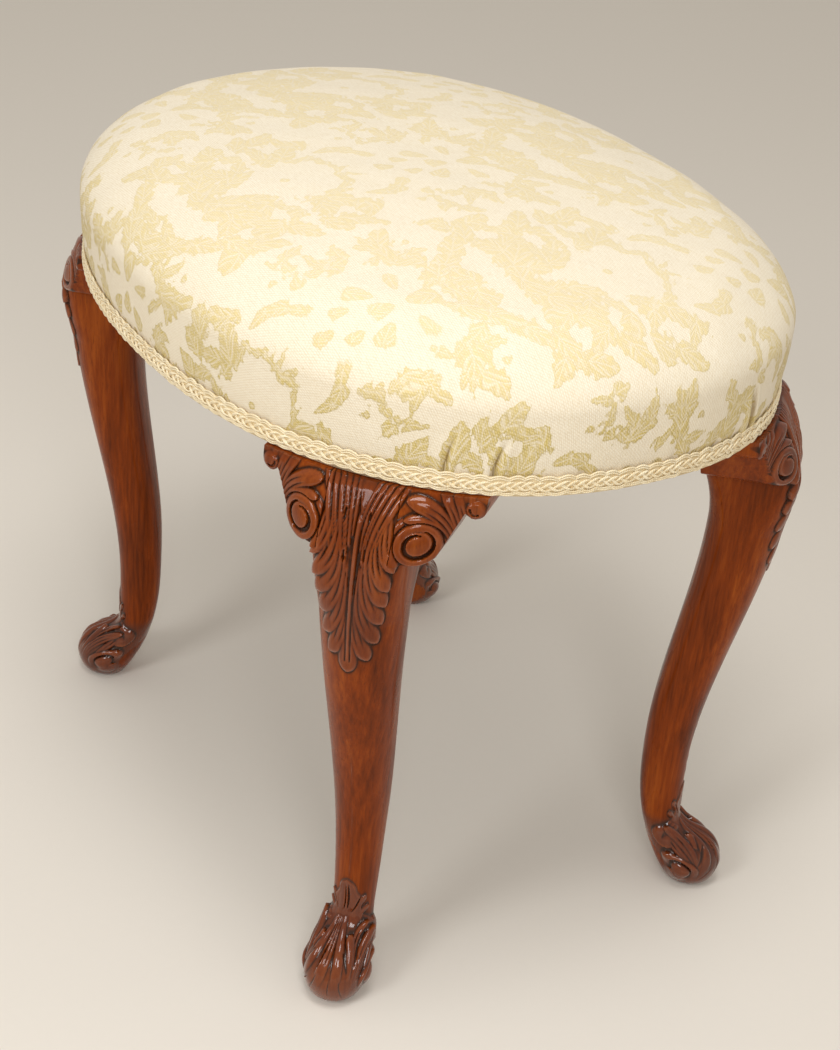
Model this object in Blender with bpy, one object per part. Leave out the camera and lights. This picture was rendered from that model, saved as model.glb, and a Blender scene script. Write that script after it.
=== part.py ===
"""Oval dressing stool: four carved cabriole legs, tenoned oval frame, webbed and stuffed-over seat.

Metres, +Z up. The origin is on the floor under the middle of the seat. X is the long axis of the oval.
Each leg has its own frame: s points out of the stool in the leg's plane of symmetry, t points sideways,
and s = t = 0 is the point on the floor plumb under the seat's edge.
"""

import math

import bmesh
import bpy
import numpy as np
from mathutils import Matrix

# Seat outline, measured over the braid
SEAT_LENGTH = 0.522
SEAT_WIDTH = 0.3965
OVAL_POWER = 2.26
SEAT_UNDERSIDE = 0.3685

# Layers wrapped round the frame, from the outside in
BRAID_THICKNESS = 0.0025
BRAID_HEIGHT = 0.0115
BRAID_CORD_SHARE = 0.22
BRAID_HOLLOW_SHARE = 0.3
COVER_THICKNESS = 0.0015
WADDING_THICKNESS = 0.0016

# Cushion form above the frame
CUSHION_BULGE = 0.001
CUSHION_WIDEST = 0.049
SWELL_SHARE = 0.8
SWELL_HEIGHT_SHARE = 0.6
ROLL_INSET = 0.045
ROLL_TOP = 0.080
CROWN_RISE = 0.024
CROWN_SHARES = (0.72, 0.44, 0.18)

# Beech seat frame
RAIL_HEIGHT = 0.055
RAIL_THICKNESS = 0.026
TENON_LENGTH = 0.017
TENON_WIDTH = 0.010
TENON_HEIGHT = 0.038
BLOCK_DEPTH = 0.028
BLOCK_HEIGHT = 0.036
BLOCK_HALF_SPAN = 0.056
SCREW_OFFSET = 0.040
SCREW_SHANK_RADIUS = 0.002
SCREW_HEAD_RADIUS = 0.0042
SCREW_BITE = 0.012
SCREW_CONE_EASE = 1.5

# Webbing and base cloth
STRAP_WIDTH = 0.050
STRAP_THICKNESS = 0.0015
LENGTHWISE_STRAPS = 3
LENGTHWISE_MARGIN = 0.054
CROSSWISE_STRAPS = 5
CROSSWISE_MARGIN = 0.0395
STRAP_EDGE = 0.008
HESSIAN_THICKNESS = 0.001
DUST_COVER_THICKNESS = 0.0008
DUST_COVER_EDGE = 0.009

# Where the legs stand and the way they point, in plan
LEG_PLAN_ANGLE = math.radians(35.2)
LEG_TURN = math.radians(49.5)

# Cabriole leg, front line (outwards is positive s, heights from the floor or drops from the seat)
SOLE_FRONT = 0.0055
TOE_FRONT = 0.0172
TOE_HEIGHT = 0.0155
ANKLE_FRONT = -0.0165
ANKLE_LOW = 0.0535
ANKLE_HIGH = 0.0885
KNEE_FRONT = 0.0187
KNEE_DROP = 0.0515
KNEE_TOP_FRONT = 0.0025

# Cabriole leg, back line
SOLE_BACK = -0.018
CALF_BACK = -0.047
CALF_HEIGHT = 0.1105
HEEL_POWER = 2.75
PIT_BACK = -0.0303
PIT_DROP = 0.085
POST_BACK = -0.046
POST_FLARE_DROP = 0.030

# Cabriole leg, half widths
SOLE_HALF = 0.0075
TOE_HALF = 0.0203
ANKLE_HALF = 0.013
KNEE_HALF = 0.0282
KNEE_HALF_DROP = 0.043
CALF_SWELL = 1.2
POST_HALF = 0.0207
POST_SETBACK = 0.002
JOINT_HALF = 0.0210
SHANK_POWER = 2.0
SHANK_RIDGE = 0.2
KNEE_SQUARENESS = 5.5

# Knee brackets, the scrolled ears glued beside each knee
VOLUTE_OFFSET = 0.0340
VOLUTE_DROP = 0.0275
VOLUTE_RADIUS = 0.0124
TIP_OFFSET = 0.0600
TIP_DROP = 0.007
TIP_RADIUS = 0.0055
TIP_PROUD = 0.002

# Carved relief that follows the knee, the brackets and the foot
RELIEF = 0.0024
RELIEF_ROOT = 0.002
RELIEF_SHOULDER = 0.62
RELIEF_SHOULDER_RISE = 0.75
RELIEF_LEAST_RISE = 0.25
LEAF_DROP = 0.121
LEAF_HALF = 0.019
LEAF_RIB_HALF = 0.0030
LEAF_RIB_TAPER = 0.6
LEAF_TAPER_POWER = 0.7
LEAF_LOBES = 4
LOBE_LENGTH = 0.034
LOBE_HALF = 0.0066
LOBE_CURL = 1.6
LOBE_FULLNESS = (0.12, 0.84)
SCROLL_TURNS = 1.5
SCROLL_BAND = 0.0021
SCROLL_EYE = 0.0022
SCROLL_TIGHTENING = 1.4
SCROLL_BAND_TAPER = 0.8
FOOT_LEAF_TOP = 0.066
FOOT_LEAF_LOW = 0.010
FOOT_LEAF_SPREAD = 0.011
FOOT_LEAF_HALF = 0.0046
FOOT_LEAF_END_SHARE = 0.45

# Fits and mesh fineness
GAP = 0.0003
LEG_SIDES = 24
OVAL_SIDES = 48
SCREW_SIDES = 8
LOBE_STEPS = 4
RIB_STEPS = 6
SCROLL_STEPS = 14

COVER_INSET = BRAID_THICKNESS + GAP
WADDING_INSET = COVER_INSET + COVER_THICKNESS + GAP
RAIL_INSET = WADDING_INSET + WADDING_THICKNESS + GAP
RAIL_INNER_INSET = RAIL_INSET + RAIL_THICKNESS
RAIL_TOP = SEAT_UNDERSIDE + RAIL_HEIGHT
LEG_TOP = SEAT_UNDERSIDE - GAP
EAR_SEAT = SEAT_UNDERSIDE - VOLUTE_DROP - VOLUTE_RADIUS - GAP
STRAP_LOW = RAIL_TOP + GAP
STRAP_HIGH = STRAP_LOW + STRAP_THICKNESS + GAP
HESSIAN_BOTTOM = STRAP_HIGH + STRAP_THICKNESS + GAP
STUFFING_BOTTOM = HESSIAN_BOTTOM + HESSIAN_THICKNESS + GAP
STRAP_ROOM = RAIL_INNER_INSET + STRAP_WIDTH / 2
LENGTHWISE_PITCH = (SEAT_WIDTH - 2 * (STRAP_ROOM + LENGTHWISE_MARGIN)) / (LENGTHWISE_STRAPS - 1)
CROSSWISE_PITCH = (SEAT_LENGTH - 2 * (STRAP_ROOM + CROSSWISE_MARGIN)) / (CROSSWISE_STRAPS - 1)
CORNERS = {"front_right": (1, -1), "front_left": (-1, -1), "back_right": (1, 1), "back_left": (-1, 1)}


def oval_radius(angle, inset=0.0):
    """Distance from the middle of the seat to the oval, in the direction of a plan angle."""
    across = (abs(np.cos(angle)) / (SEAT_LENGTH / 2 - inset)) ** OVAL_POWER
    along = (abs(np.sin(angle)) / (SEAT_WIDTH / 2 - inset)) ** OVAL_POWER
    return (across + along) ** (-1 / OVAL_POWER)


def oval_ring(inset, height, sides, shrink=1.0):
    """Points round the oval at one height, drawn in by inset and then towards the middle by shrink."""
    angle = np.linspace(0, 2 * math.pi, sides, endpoint=False)
    half_length = (SEAT_LENGTH / 2 - inset) * shrink
    half_width = (SEAT_WIDTH / 2 - inset) * shrink
    x = half_length * np.sign(np.cos(angle)) * abs(np.cos(angle)) ** (2 / OVAL_POWER)
    y = half_width * np.sign(np.sin(angle)) * abs(np.sin(angle)) ** (2 / OVAL_POWER)
    return np.stack([x, y, np.full(sides, height)], axis=1)


LEG_REACH = float(oval_radius(LEG_PLAN_ANGLE))
LEG_X = LEG_REACH * math.cos(LEG_PLAN_ANGLE)
LEG_Y = LEG_REACH * math.sin(LEG_PLAN_ANGLE)


def oval_front(t, inset=0.0):
    """How far out (s) the oval lies beside the leg's plane, averaged over the leg's two sides."""
    total = 0.0
    for side in (t, -t):
        near, far = -0.12, 0.06
        for _ in range(40):
            s = (near + far) / 2
            x = LEG_X + s * math.cos(LEG_TURN) + side * math.sin(LEG_TURN)
            y = LEG_Y + s * math.sin(LEG_TURN) - side * math.cos(LEG_TURN)
            inside = math.hypot(x, y) < oval_radius(math.atan2(y, x), inset)
            near, far = (s, far) if inside else (near, s)
        total += near / 2
    return total


POST_FRONT = oval_front(POST_HALF, RAIL_INSET) - POST_SETBACK


def ease(x):
    """Smooth step from 0 to 1, level at both ends."""
    x = min(max(x, 0.0), 1.0)
    return x * x * (3 - 2 * x)


def between(z, low, high):
    return (z - low) / (high - low)


def mix(a, b, x):
    return a + (b - a) * x


def bulb(z, height, start, full):
    """Quarter ellipse from start at the floor to full at the given height."""
    return start + (full - start) * math.sqrt(max(0.0, 1 - (1 - z / height) ** 2))


def front_line(z):
    """Front of the leg: round toe, hollow ankle, swelling knee."""
    knee = SEAT_UNDERSIDE - KNEE_DROP
    if z < TOE_HEIGHT:
        return bulb(z, TOE_HEIGHT, SOLE_FRONT, TOE_FRONT)
    if z < ANKLE_LOW:
        return mix(TOE_FRONT, ANKLE_FRONT, ease(between(z, TOE_HEIGHT, ANKLE_LOW)))
    if z < knee:
        return mix(ANKLE_FRONT, KNEE_FRONT, ease(between(z, ANKLE_HIGH, knee)))
    return mix(KNEE_FRONT, KNEE_TOP_FRONT, between(z, knee, LEG_TOP) ** 2)


def back_line(z):
    """Back of the leg: rolled heel, full calf, hollow behind the knee, flare into the post."""
    pit = SEAT_UNDERSIDE - PIT_DROP
    flare = SEAT_UNDERSIDE - POST_FLARE_DROP
    if z < CALF_HEIGHT:
        return mix(CALF_BACK, SOLE_BACK, (1 - z / CALF_HEIGHT) ** HEEL_POWER)
    if z < pit:
        return mix(CALF_BACK, PIT_BACK, ease(between(z, CALF_HEIGHT, pit)))
    return mix(PIT_BACK, POST_BACK, min(1.0, between(z, pit, flare)) ** 2)


def half_width(z):
    knee = SEAT_UNDERSIDE - KNEE_HALF_DROP
    if z < TOE_HEIGHT:
        return bulb(z, TOE_HEIGHT, SOLE_HALF, TOE_HALF)
    if z < ANKLE_LOW:
        return mix(TOE_HALF, ANKLE_HALF, ease(between(z, TOE_HEIGHT, ANKLE_LOW)))
    return mix(ANKLE_HALF, KNEE_HALF, min(1.0, between(z, ANKLE_LOW, knee)) ** CALF_SWELL)


def section_power(z):
    """Squareness of the section: round foot, slightly ridged shank, broad flat knee."""
    shank = SHANK_POWER - SHANK_RIDGE * ease(between(z, ANKLE_LOW, CALF_HEIGHT))
    knee = between(z, SEAT_UNDERSIDE - PIT_DROP, SEAT_UNDERSIDE)
    return shank + KNEE_SQUARENESS * max(0.0, knee)


def knee_front(t, z):
    """Front surface of the leg (s) at a sideways offset t, up at the knee."""
    middle = (front_line(z) + back_line(z)) / 2
    depth = (front_line(z) - back_line(z)) / 2
    power = section_power(z)
    share = max(0.0, 1 - (abs(t) / half_width(z)) ** power) ** (1 / power)
    return middle + depth * share


def leg_ring(z, cheeks=False):
    """One level of the leg, with flat cheeks where the brackets are glued on."""
    angle = np.linspace(0, 2 * math.pi, LEG_SIDES, endpoint=False)
    power = section_power(z)
    front, back, half = front_line(z), back_line(z), half_width(z)
    s = (front + back) / 2 + (front - back) / 2 * np.sign(np.cos(angle)) * abs(np.cos(angle)) ** (2 / power)
    t = half * np.sign(np.sin(angle)) * abs(np.sin(angle)) ** (2 / power)
    if cheeks:
        t = np.clip(t, -JOINT_HALF, JOINT_HALF)
    return np.stack([s, t, np.full(LEG_SIDES, z)], axis=1)


def post_ring(z):
    """One level of the square post that the rails are tenoned into."""
    angle = np.linspace(0, 2 * math.pi, LEG_SIDES, endpoint=False)
    square_s = np.clip(math.sqrt(2) * np.cos(angle), -1, 1)
    square_t = np.clip(math.sqrt(2) * np.sin(angle), -1, 1)
    back = POST_BACK + GAP
    s = (POST_FRONT + back) / 2 + (POST_FRONT - back) / 2 * square_s
    return np.stack([s, POST_HALF * square_t, np.full(LEG_SIDES, z)], axis=1)


def mesh_from(name, points, faces):
    """Closed mesh with its faces turned outwards."""
    made = bmesh.new()
    corners = [made.verts.new(p) for p in points]
    for face in faces:
        made.faces.new([corners[i] for i in face])
    bmesh.ops.recalc_face_normals(made, faces=made.faces)
    mesh = bpy.data.meshes.new(name)
    made.to_mesh(mesh)
    made.free()
    mesh.shade_smooth()
    mesh.set_sharp_from_angle(angle=math.radians(40))
    return mesh


def loft(name, rings):
    """Skin over rings of equal point count, capped at both ends."""
    count = len(rings[0])
    faces = []
    for level in range(len(rings) - 1):
        for i in range(count):
            j = (i + 1) % count
            low, high = level * count, (level + 1) * count
            faces.append((low + i, low + j, high + j, high + i))
    faces.append(tuple(range(count))[::-1])
    faces.append(tuple((len(rings) - 1) * count + i for i in range(count)))
    return mesh_from(name, np.concatenate(rings), faces)


def closed_band(name, rings):
    """Skin over rings that run round a loop and back to the first ring."""
    count = len(rings[0])
    faces = []
    for level in range(len(rings)):
        low, high = level * count, (level + 1) % len(rings) * count
        for i in range(count):
            j = (i + 1) % count
            faces.append((low + i, low + j, high + j, high + i))
    return mesh_from(name, np.concatenate(rings), faces)


def prism(name, outline, low, high):
    """Flat plan outline raised from low to high."""
    return loft(name, [np.array([(x, y, z) for x, y in outline]) for z in (low, high)])


def box(name, low, high):
    (x0, y0, z0), (x1, y1, z1) = low, high
    return prism(name, [(x0, y0), (x1, y0), (x1, y1), (x0, y1)], z0, z1)


def add(name, mesh, material=None):
    made = bpy.data.objects.new(name, mesh)
    bpy.context.scene.collection.objects.link(made)
    if material:
        mesh.materials.clear()
        mesh.materials.append(material)
    return made


def boolean(mesh, tools, operation):
    """Mesh cut by, joined to or trimmed to each tool mesh in turn. The tools are used up."""
    work = add("work", mesh)
    helpers = []
    for tool in tools:
        helper = add("tool", tool)
        helpers.append(helper)
        modifier = work.modifiers.new("cut", "BOOLEAN")
        modifier.operation = operation
        modifier.solver = "EXACT"
        modifier.object = helper
    graph = bpy.context.evaluated_depsgraph_get()
    result = bpy.data.meshes.new_from_object(work.evaluated_get(graph))
    for helper in [work, *helpers]:
        bpy.data.objects.remove(helper)
    result.shade_smooth()
    result.set_sharp_from_angle(angle=math.radians(40))
    return result


def leg_matrix(corner):
    """Leg frame to stool frame: x is s, y is t."""
    side_x, side_y = corner
    turn = math.atan2(side_y * math.sin(LEG_TURN), side_x * math.cos(LEG_TURN))
    place = Matrix.Translation((side_x * LEG_X, side_y * LEG_Y, 0))
    return place @ Matrix.Rotation(turn, 4, "Z")


def rail_beside(corner, side):
    """Which rail lies on one side of a leg: the one across the end, or the one along the side."""
    return "end" if side * corner[0] * corner[1] < 0 else "side"


def placed(mesh, matrix):
    """Copy of a mesh carried from a leg frame into the stool frame."""
    copy = mesh.copy()
    copy.transform(matrix)
    return copy


def material(name, colour, roughness, metallic=0.0):
    made = bpy.data.materials.new(name)
    made.use_nodes = True
    shader = made.node_tree.nodes["Principled BSDF"]
    shader.inputs["Base Color"].default_value = (*colour, 1)
    shader.inputs["Roughness"].default_value = roughness
    shader.inputs["Metallic"].default_value = metallic
    made.diffuse_color = (*colour, 1)
    return made


def rail_middle():
    """Middle of the rail's thickness beside the post, where the tenon goes in (s)."""
    return (oval_front(POST_HALF, RAIL_INSET) + oval_front(POST_HALF, RAIL_INNER_INSET)) / 2


def tenon_box(name, side, grow, reach):
    """Tenon on one side of the post, or its mortise when grown by a gap."""
    middle = rail_middle()
    height = SEAT_UNDERSIDE + RAIL_HEIGHT / 2
    inner = POST_HALF - TENON_LENGTH - grow
    outer = POST_HALF + reach
    low_t, high_t = (inner, outer) if side > 0 else (-outer, -inner)
    low = (middle - TENON_WIDTH / 2 - grow, low_t, height - TENON_HEIGHT / 2 - grow)
    high = (middle + TENON_WIDTH / 2 + grow, high_t, height + TENON_HEIGHT / 2 + grow)
    return box(name, low, high)


def leg_rings():
    """Levels of the leg's skin: close together at the foot and knee, open along the shank."""
    pit = SEAT_UNDERSIDE - PIT_DROP
    foot = TOE_HEIGHT * (1 - np.cos(np.linspace(0, math.pi / 2, 5)))
    instep = np.linspace(TOE_HEIGHT, ANKLE_LOW, 6)[1:]
    shank = np.linspace(ANKLE_LOW, pit, 7)[1:]
    knee = np.linspace(pit, EAR_SEAT, 4)[1:]
    crest = np.linspace(EAR_SEAT, LEG_TOP, 5)
    rings = [leg_ring(float(z)) for z in np.concatenate([foot, instep, shank, knee])]
    rings += [leg_ring(float(z), cheeks=True) for z in crest]
    return [*rings, post_ring(LEG_TOP), post_ring(RAIL_TOP)]


def relief(name, surface, path, halves):
    """Raised rib along a path of (t, z) points on a surface s(t, z), its root sunk in the wood."""
    points = np.array([(surface(t, z), t, z) for t, z in path])
    along = np.gradient(points, axis=0)
    step = RELIEF / 4
    rings = []
    for point, way, half in zip(points, along, halves):
        t, z = point[1], point[2]
        slope_t = (surface(t + step, z) - surface(t - step, z)) / (2 * step)
        slope_z = (surface(t, z + step) - surface(t, z - step)) / (2 * step)
        out = np.array([1.0, -slope_t, -slope_z])
        out /= np.linalg.norm(out)
        across = np.cross(out, way)
        across /= np.linalg.norm(across)
        rise = RELIEF * min(1.0, half / halves.max() + RELIEF_LEAST_RISE)
        shoulder = rise * RELIEF_SHOULDER_RISE
        section = [(-1.0, -RELIEF_ROOT), (-RELIEF_SHOULDER, shoulder), (0.0, rise)]
        section += [(-a, b) for a, b in section[1::-1]]
        rings.append(np.array([point + across * half * a + out * b for a, b in section]))
    return loft(name, rings)


def leaf_reliefs():
    """Acanthus on the knee: a middle rib and pairs of lobes that shorten towards the leaf's tip."""
    tip = SEAT_UNDERSIDE - LEAF_DROP
    rise = np.linspace(0, 1, RIB_STEPS)
    rib = [(0.0, mix(LEG_TOP - RELIEF, tip, x)) for x in rise]
    made = [relief("rib", knee_front, rib, LEAF_RIB_HALF * (1 - LEAF_RIB_TAPER * rise))]
    run = np.linspace(0, 1, LOBE_STEPS)
    swell = LOBE_HALF * np.sin(math.pi * mix(*LOBE_FULLNESS, run))
    for lobe in range(LEAF_LOBES):
        share = lobe / LEAF_LOBES
        end_t = LEAF_HALF * (1 - share) ** LEAF_TAPER_POWER
        end_z = mix(SEAT_UNDERSIDE - KNEE_DROP, tip, share)
        for side in (1, -1):
            sideways = side * mix(LEAF_RIB_HALF, end_t, run**LOBE_CURL)
            path = list(zip(sideways, end_z + LOBE_LENGTH * (1 - run)))
            made.append(relief("lobe", knee_front, path, swell))
    return made


def foot_reliefs():
    """Leaf over the foot: three tongues running from the ankle over the toe."""
    run = np.linspace(0, 1, RIB_STEPS)
    made = []
    for side in (0, 1, -1):
        top = FOOT_LEAF_TOP - abs(side) * FOOT_LEAF_HALF * 2
        heights = [mix(top, FOOT_LEAF_LOW, x) for x in run]
        path = [(side * FOOT_LEAF_SPREAD * half_width(z) / TOE_HALF, z) for z in heights]
        swell = FOOT_LEAF_HALF * mix(FOOT_LEAF_END_SHARE, 1.0, np.sin(math.pi * run))
        made.append(relief("tongue", knee_front, path, swell))
    return made


def scroll_relief(side):
    """Volute on the bracket: a band that winds in from the top to a raised eye."""
    turn = np.linspace(0, SCROLL_TURNS * 2 * math.pi, SCROLL_STEPS)
    winding = np.linspace(0, 1, SCROLL_STEPS) ** SCROLL_TIGHTENING
    radius = mix(VOLUTE_RADIUS - SCROLL_BAND, SCROLL_EYE, winding)
    t = side * (VOLUTE_OFFSET + radius * np.sin(turn))
    z = SEAT_UNDERSIDE - VOLUTE_DROP + radius * np.cos(turn)
    band = np.linspace(SCROLL_BAND, SCROLL_BAND * SCROLL_BAND_TAPER, SCROLL_STEPS)
    return relief("scroll", ear_front, list(zip(t, z)), band)


def leg_mesh():
    """Cabriole leg and its post in one piece, carved, and mortised on both cheeks."""
    carved = boolean(loft("leg", leg_rings()), leaf_reliefs() + foot_reliefs(), "UNION")
    mortises = [tenon_box("mortise", side, GAP, GAP * 4) for side in (1, -1)]
    return boolean(carved, mortises, "DIFFERENCE")


def ear_underside(t):
    """Lower outline of the bracket: level seat on the leg, scroll lobe, straight rise, scrolled tip."""
    volute = SEAT_UNDERSIDE - VOLUTE_DROP
    tip = SEAT_UNDERSIDE - TIP_DROP
    lowest = LEG_TOP - TIP_RADIUS / 4
    leave = VOLUTE_OFFSET + VOLUTE_RADIUS * math.sin(math.radians(45))
    leave_height = volute - VOLUTE_RADIUS * math.cos(math.radians(45))
    arrive = TIP_OFFSET - TIP_RADIUS
    if t <= leave:
        return volute - math.sqrt(VOLUTE_RADIUS**2 - max(0.0, t - VOLUTE_OFFSET) ** 2)
    if t <= arrive:
        return min(lowest, mix(leave_height, tip - TIP_RADIUS / 2, between(t, leave, arrive)))
    across = min(1.0, abs(t - TIP_OFFSET) / TIP_RADIUS)
    return min(lowest, tip - TIP_RADIUS * math.sqrt(1 - across**2))


def ear_front(t, z):
    """Carved face of the bracket: flush with the knee at the joint, dying into the oval at the tip."""
    proud = knee_front(JOINT_HALF, z) - oval_front(JOINT_HALF)
    fade = ease(between(abs(t), JOINT_HALF, TIP_OFFSET))
    return oval_front(t) + mix(proud, TIP_PROUD, fade)


def ear_mesh(side):
    """Knee bracket on one side of the leg (side is the sign of t)."""
    inner = JOINT_HALF + GAP
    outer = TIP_OFFSET + TIP_RADIUS
    arrive = TIP_OFFSET - TIP_RADIUS
    columns = np.concatenate([np.linspace(inner, arrive, 9), np.linspace(arrive, outer, 6)[1:]])
    rows = 5
    rings = []
    for t in columns:
        low = ear_underside(float(t))
        heights = np.linspace(low, LEG_TOP, rows)
        face = [(ear_front(float(t), float(z)), side * t, z) for z in heights]
        back = oval_front(float(t), RAIL_INNER_INSET)
        rings.append(np.array([*face, (back, side * t, LEG_TOP), (back, side * t, low)]))
    return boolean(loft("knee_bracket", rings), [scroll_relief(side)], "UNION")


def rail_mesh(corner_a, corner_b):
    """Curved rail from one leg's post to the next, with a tenon on each end."""
    ends = [leg_matrix(corner_a), leg_matrix(corner_b)]
    start, finish = (math.atan2(c[1] * LEG_Y, c[0] * LEG_X) for c in (corner_a, corner_b))
    step = 2 * math.pi / OVAL_SIDES
    span = (finish - start) % (2 * math.pi) + step * 2
    outer = oval_ring(RAIL_INSET, 0.0, OVAL_SIDES)
    inner = oval_ring(RAIL_INNER_INSET, 0.0, OVAL_SIDES)
    turn = (np.arctan2(outer[:, 1], outer[:, 0]) - start + step) % (2 * math.pi)
    rings = []
    for i in np.argsort(turn):
        if turn[i] < span:
            section = [(outer[i], SEAT_UNDERSIDE), (outer[i], RAIL_TOP)]
            section += [(inner[i], RAIL_TOP), (inner[i], SEAT_UNDERSIDE)]
            rings.append(np.array([(x, y, z) for (x, y, _), z in section]))
    whole = loft("rail", rings)
    posts, tenons = [], []
    for end, corner in zip(ends, (corner_a, corner_b)):
        other = corner_b if corner is corner_a else corner_a
        sideways = end.inverted() @ Matrix.Translation((other[0] * LEG_X, other[1] * LEG_Y, 0))
        side = math.copysign(1, sideways.translation.y)
        edge = POST_HALF + GAP
        reach = SEAT_WIDTH / 2
        low_t, high_t = (-reach, edge) if side > 0 else (-edge, reach)
        wide = box("post_room", (POST_BACK * 2, low_t, 0), (-POST_BACK, high_t, RAIL_TOP * 2))
        posts.append(placed(wide, end))
        tenons.append(placed(tenon_box("tenon", side, 0.0, TENON_LENGTH / 2), end))
    return boolean(boolean(whole, posts, "DIFFERENCE"), tenons, "UNION")


def screw_start():
    """Where the screw heads sit: the inner face of the corner block (s)."""
    return POST_BACK - BLOCK_DEPTH


def screw_mesh(name, side, grow):
    """Countersunk screw along +s, or its hole when grown by a gap."""
    start = screw_start()
    finish = oval_front(SCREW_OFFSET, RAIL_INNER_INSET) + SCREW_BITE + grow
    middle = SEAT_UNDERSIDE + RAIL_HEIGHT / 2
    cone = start + SCREW_HEAD_RADIUS + grow * SCREW_CONE_EASE
    shank = SCREW_SHANK_RADIUS + grow
    head_start = start - GAP if grow else start + GAP
    stations = [(head_start, cone - head_start), (cone - shank, shank), (finish, shank)]
    angle = np.linspace(0, 2 * math.pi, SCREW_SIDES, endpoint=False)
    rings = []
    for s, radius in stations:
        t = side * SCREW_OFFSET + radius * np.cos(angle)
        z = middle + radius * np.sin(angle)
        rings.append(np.stack([np.full(SCREW_SIDES, s), t, z], axis=1))
    return loft(name, rings)


def block_mesh(corner):
    """Corner block fitted between two rails and notched round the post."""
    middle = SEAT_UNDERSIDE + RAIL_HEIGHT / 2
    low = (screw_start(), -BLOCK_HALF_SPAN, middle - BLOCK_HEIGHT / 2)
    high = (0.0, BLOCK_HALF_SPAN, middle + BLOCK_HEIGHT / 2)
    inside = loft("inside", [oval_ring(RAIL_INNER_INSET + GAP, z, OVAL_SIDES) for z in (0, RAIL_TOP * 2)])
    notch_half = POST_HALF + GAP
    notch = box("notch", (POST_BACK, -notch_half, 0), (-POST_BACK, notch_half, RAIL_TOP * 2))
    matrix = leg_matrix(corner)
    holes = [placed(screw_mesh("hole", side, GAP), matrix) for side in (1, -1)]
    trimmed = boolean(placed(box("block", low, high), matrix), [inside], "INTERSECT")
    return boolean(trimmed, [placed(notch, matrix), *holes], "DIFFERENCE")


def strap_mesh(along_x, index):
    """One webbing strap, passing over and under the straps that cross it."""
    count, pitch, crossing_count, crossing_pitch = (
        (LENGTHWISE_STRAPS, LENGTHWISE_PITCH, CROSSWISE_STRAPS, CROSSWISE_PITCH)
        if along_x
        else (CROSSWISE_STRAPS, CROSSWISE_PITCH, LENGTHWISE_STRAPS, LENGTHWISE_PITCH)
    )
    offset = (index - (count - 1) / 2) * pitch
    half = STRAP_WIDTH / 2
    edge = abs(offset) + half
    inset = RAIL_INSET + STRAP_EDGE
    half_long, half_across = (SEAT_LENGTH / 2 - inset, SEAT_WIDTH / 2 - inset)
    if not along_x:
        half_long, half_across = half_across, half_long
    end = half_long * (1 - (edge / half_across) ** OVAL_POWER) ** (1 / OVAL_POWER)
    stations = [(-end, STRAP_LOW)]
    for j in range(crossing_count):
        middle = (j - (crossing_count - 1) / 2) * crossing_pitch
        on_top = (index + j + along_x) % 2 == 0
        level = STRAP_HIGH if on_top else STRAP_LOW
        flat = half + STRAP_THICKNESS
        stations += [(middle - flat, level), (middle + flat, level)]
    stations.append((end, STRAP_LOW))
    rings = []
    for place, level in stations:
        top = level + STRAP_THICKNESS
        section = [(-half, level), (half, level), (half, top), (-half, top)]
        points = [(place, offset + w, z) if along_x else (offset + w, place, z) for w, z in section]
        rings.append(np.array(points))
    return loft("strap", rings)


def cushion_rings(depth, sides, bottom):
    """Rings of the cushion's outside at a depth below its face, from the lower edge to near the middle."""
    side_inset = COVER_INSET + depth
    widest_inset = depth - CUSHION_BULGE
    rings = [oval_ring(side_inset, bottom, sides)]
    rings.append(oval_ring(side_inset, SEAT_UNDERSIDE + BRAID_HEIGHT, sides))
    swell_inset = mix(side_inset, widest_inset, SWELL_SHARE)
    rings.append(oval_ring(swell_inset, SEAT_UNDERSIDE + CUSHION_WIDEST * SWELL_HEIGHT_SHARE, sides))
    roll = np.linspace(0, math.pi / 2, 6)
    for turn in roll:
        inset = ROLL_INSET - (ROLL_INSET - widest_inset) * math.cos(turn)
        rise = CUSHION_WIDEST + (ROLL_TOP - CUSHION_WIDEST - depth) * math.sin(turn)
        out = 1 - inset / (SEAT_WIDTH / 2)
        crown = CROWN_RISE * (1 - out**2) * math.sin(turn) ** 2
        rings.append(oval_ring(inset, SEAT_UNDERSIDE + rise + crown, sides))
    edge = 1 - ROLL_INSET / (SEAT_WIDTH / 2)
    for share in CROWN_SHARES:
        crown = CROWN_RISE * (1 - (edge * share) ** 2)
        rings.append(oval_ring(ROLL_INSET, SEAT_UNDERSIDE + ROLL_TOP - depth + crown, sides, share))
    return rings


def cover_mesh():
    """Cover cloth: a thin shell over the cushion, turned down to the braid and open underneath."""
    bottom = SEAT_UNDERSIDE + GAP * 2
    outside = cushion_rings(0.0, OVAL_SIDES, bottom)
    inside = cushion_rings(COVER_THICKNESS, OVAL_SIDES, bottom)
    return loft("cover", [*inside[::-1], *outside])


def stuffing_mesh():
    """Stuffing: the cushion's body, with a thin skirt of wadding down the outside of the rails."""
    bottom = SEAT_UNDERSIDE + GAP * 4
    depth = COVER_THICKNESS + GAP
    skirt_inset = RAIL_INSET - GAP
    outside = cushion_rings(depth, OVAL_SIDES, bottom)
    inside = [oval_ring(skirt_inset, z, OVAL_SIDES) for z in (STUFFING_BOTTOM, bottom)]
    return loft("stuffing", [*inside, *outside])


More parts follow.
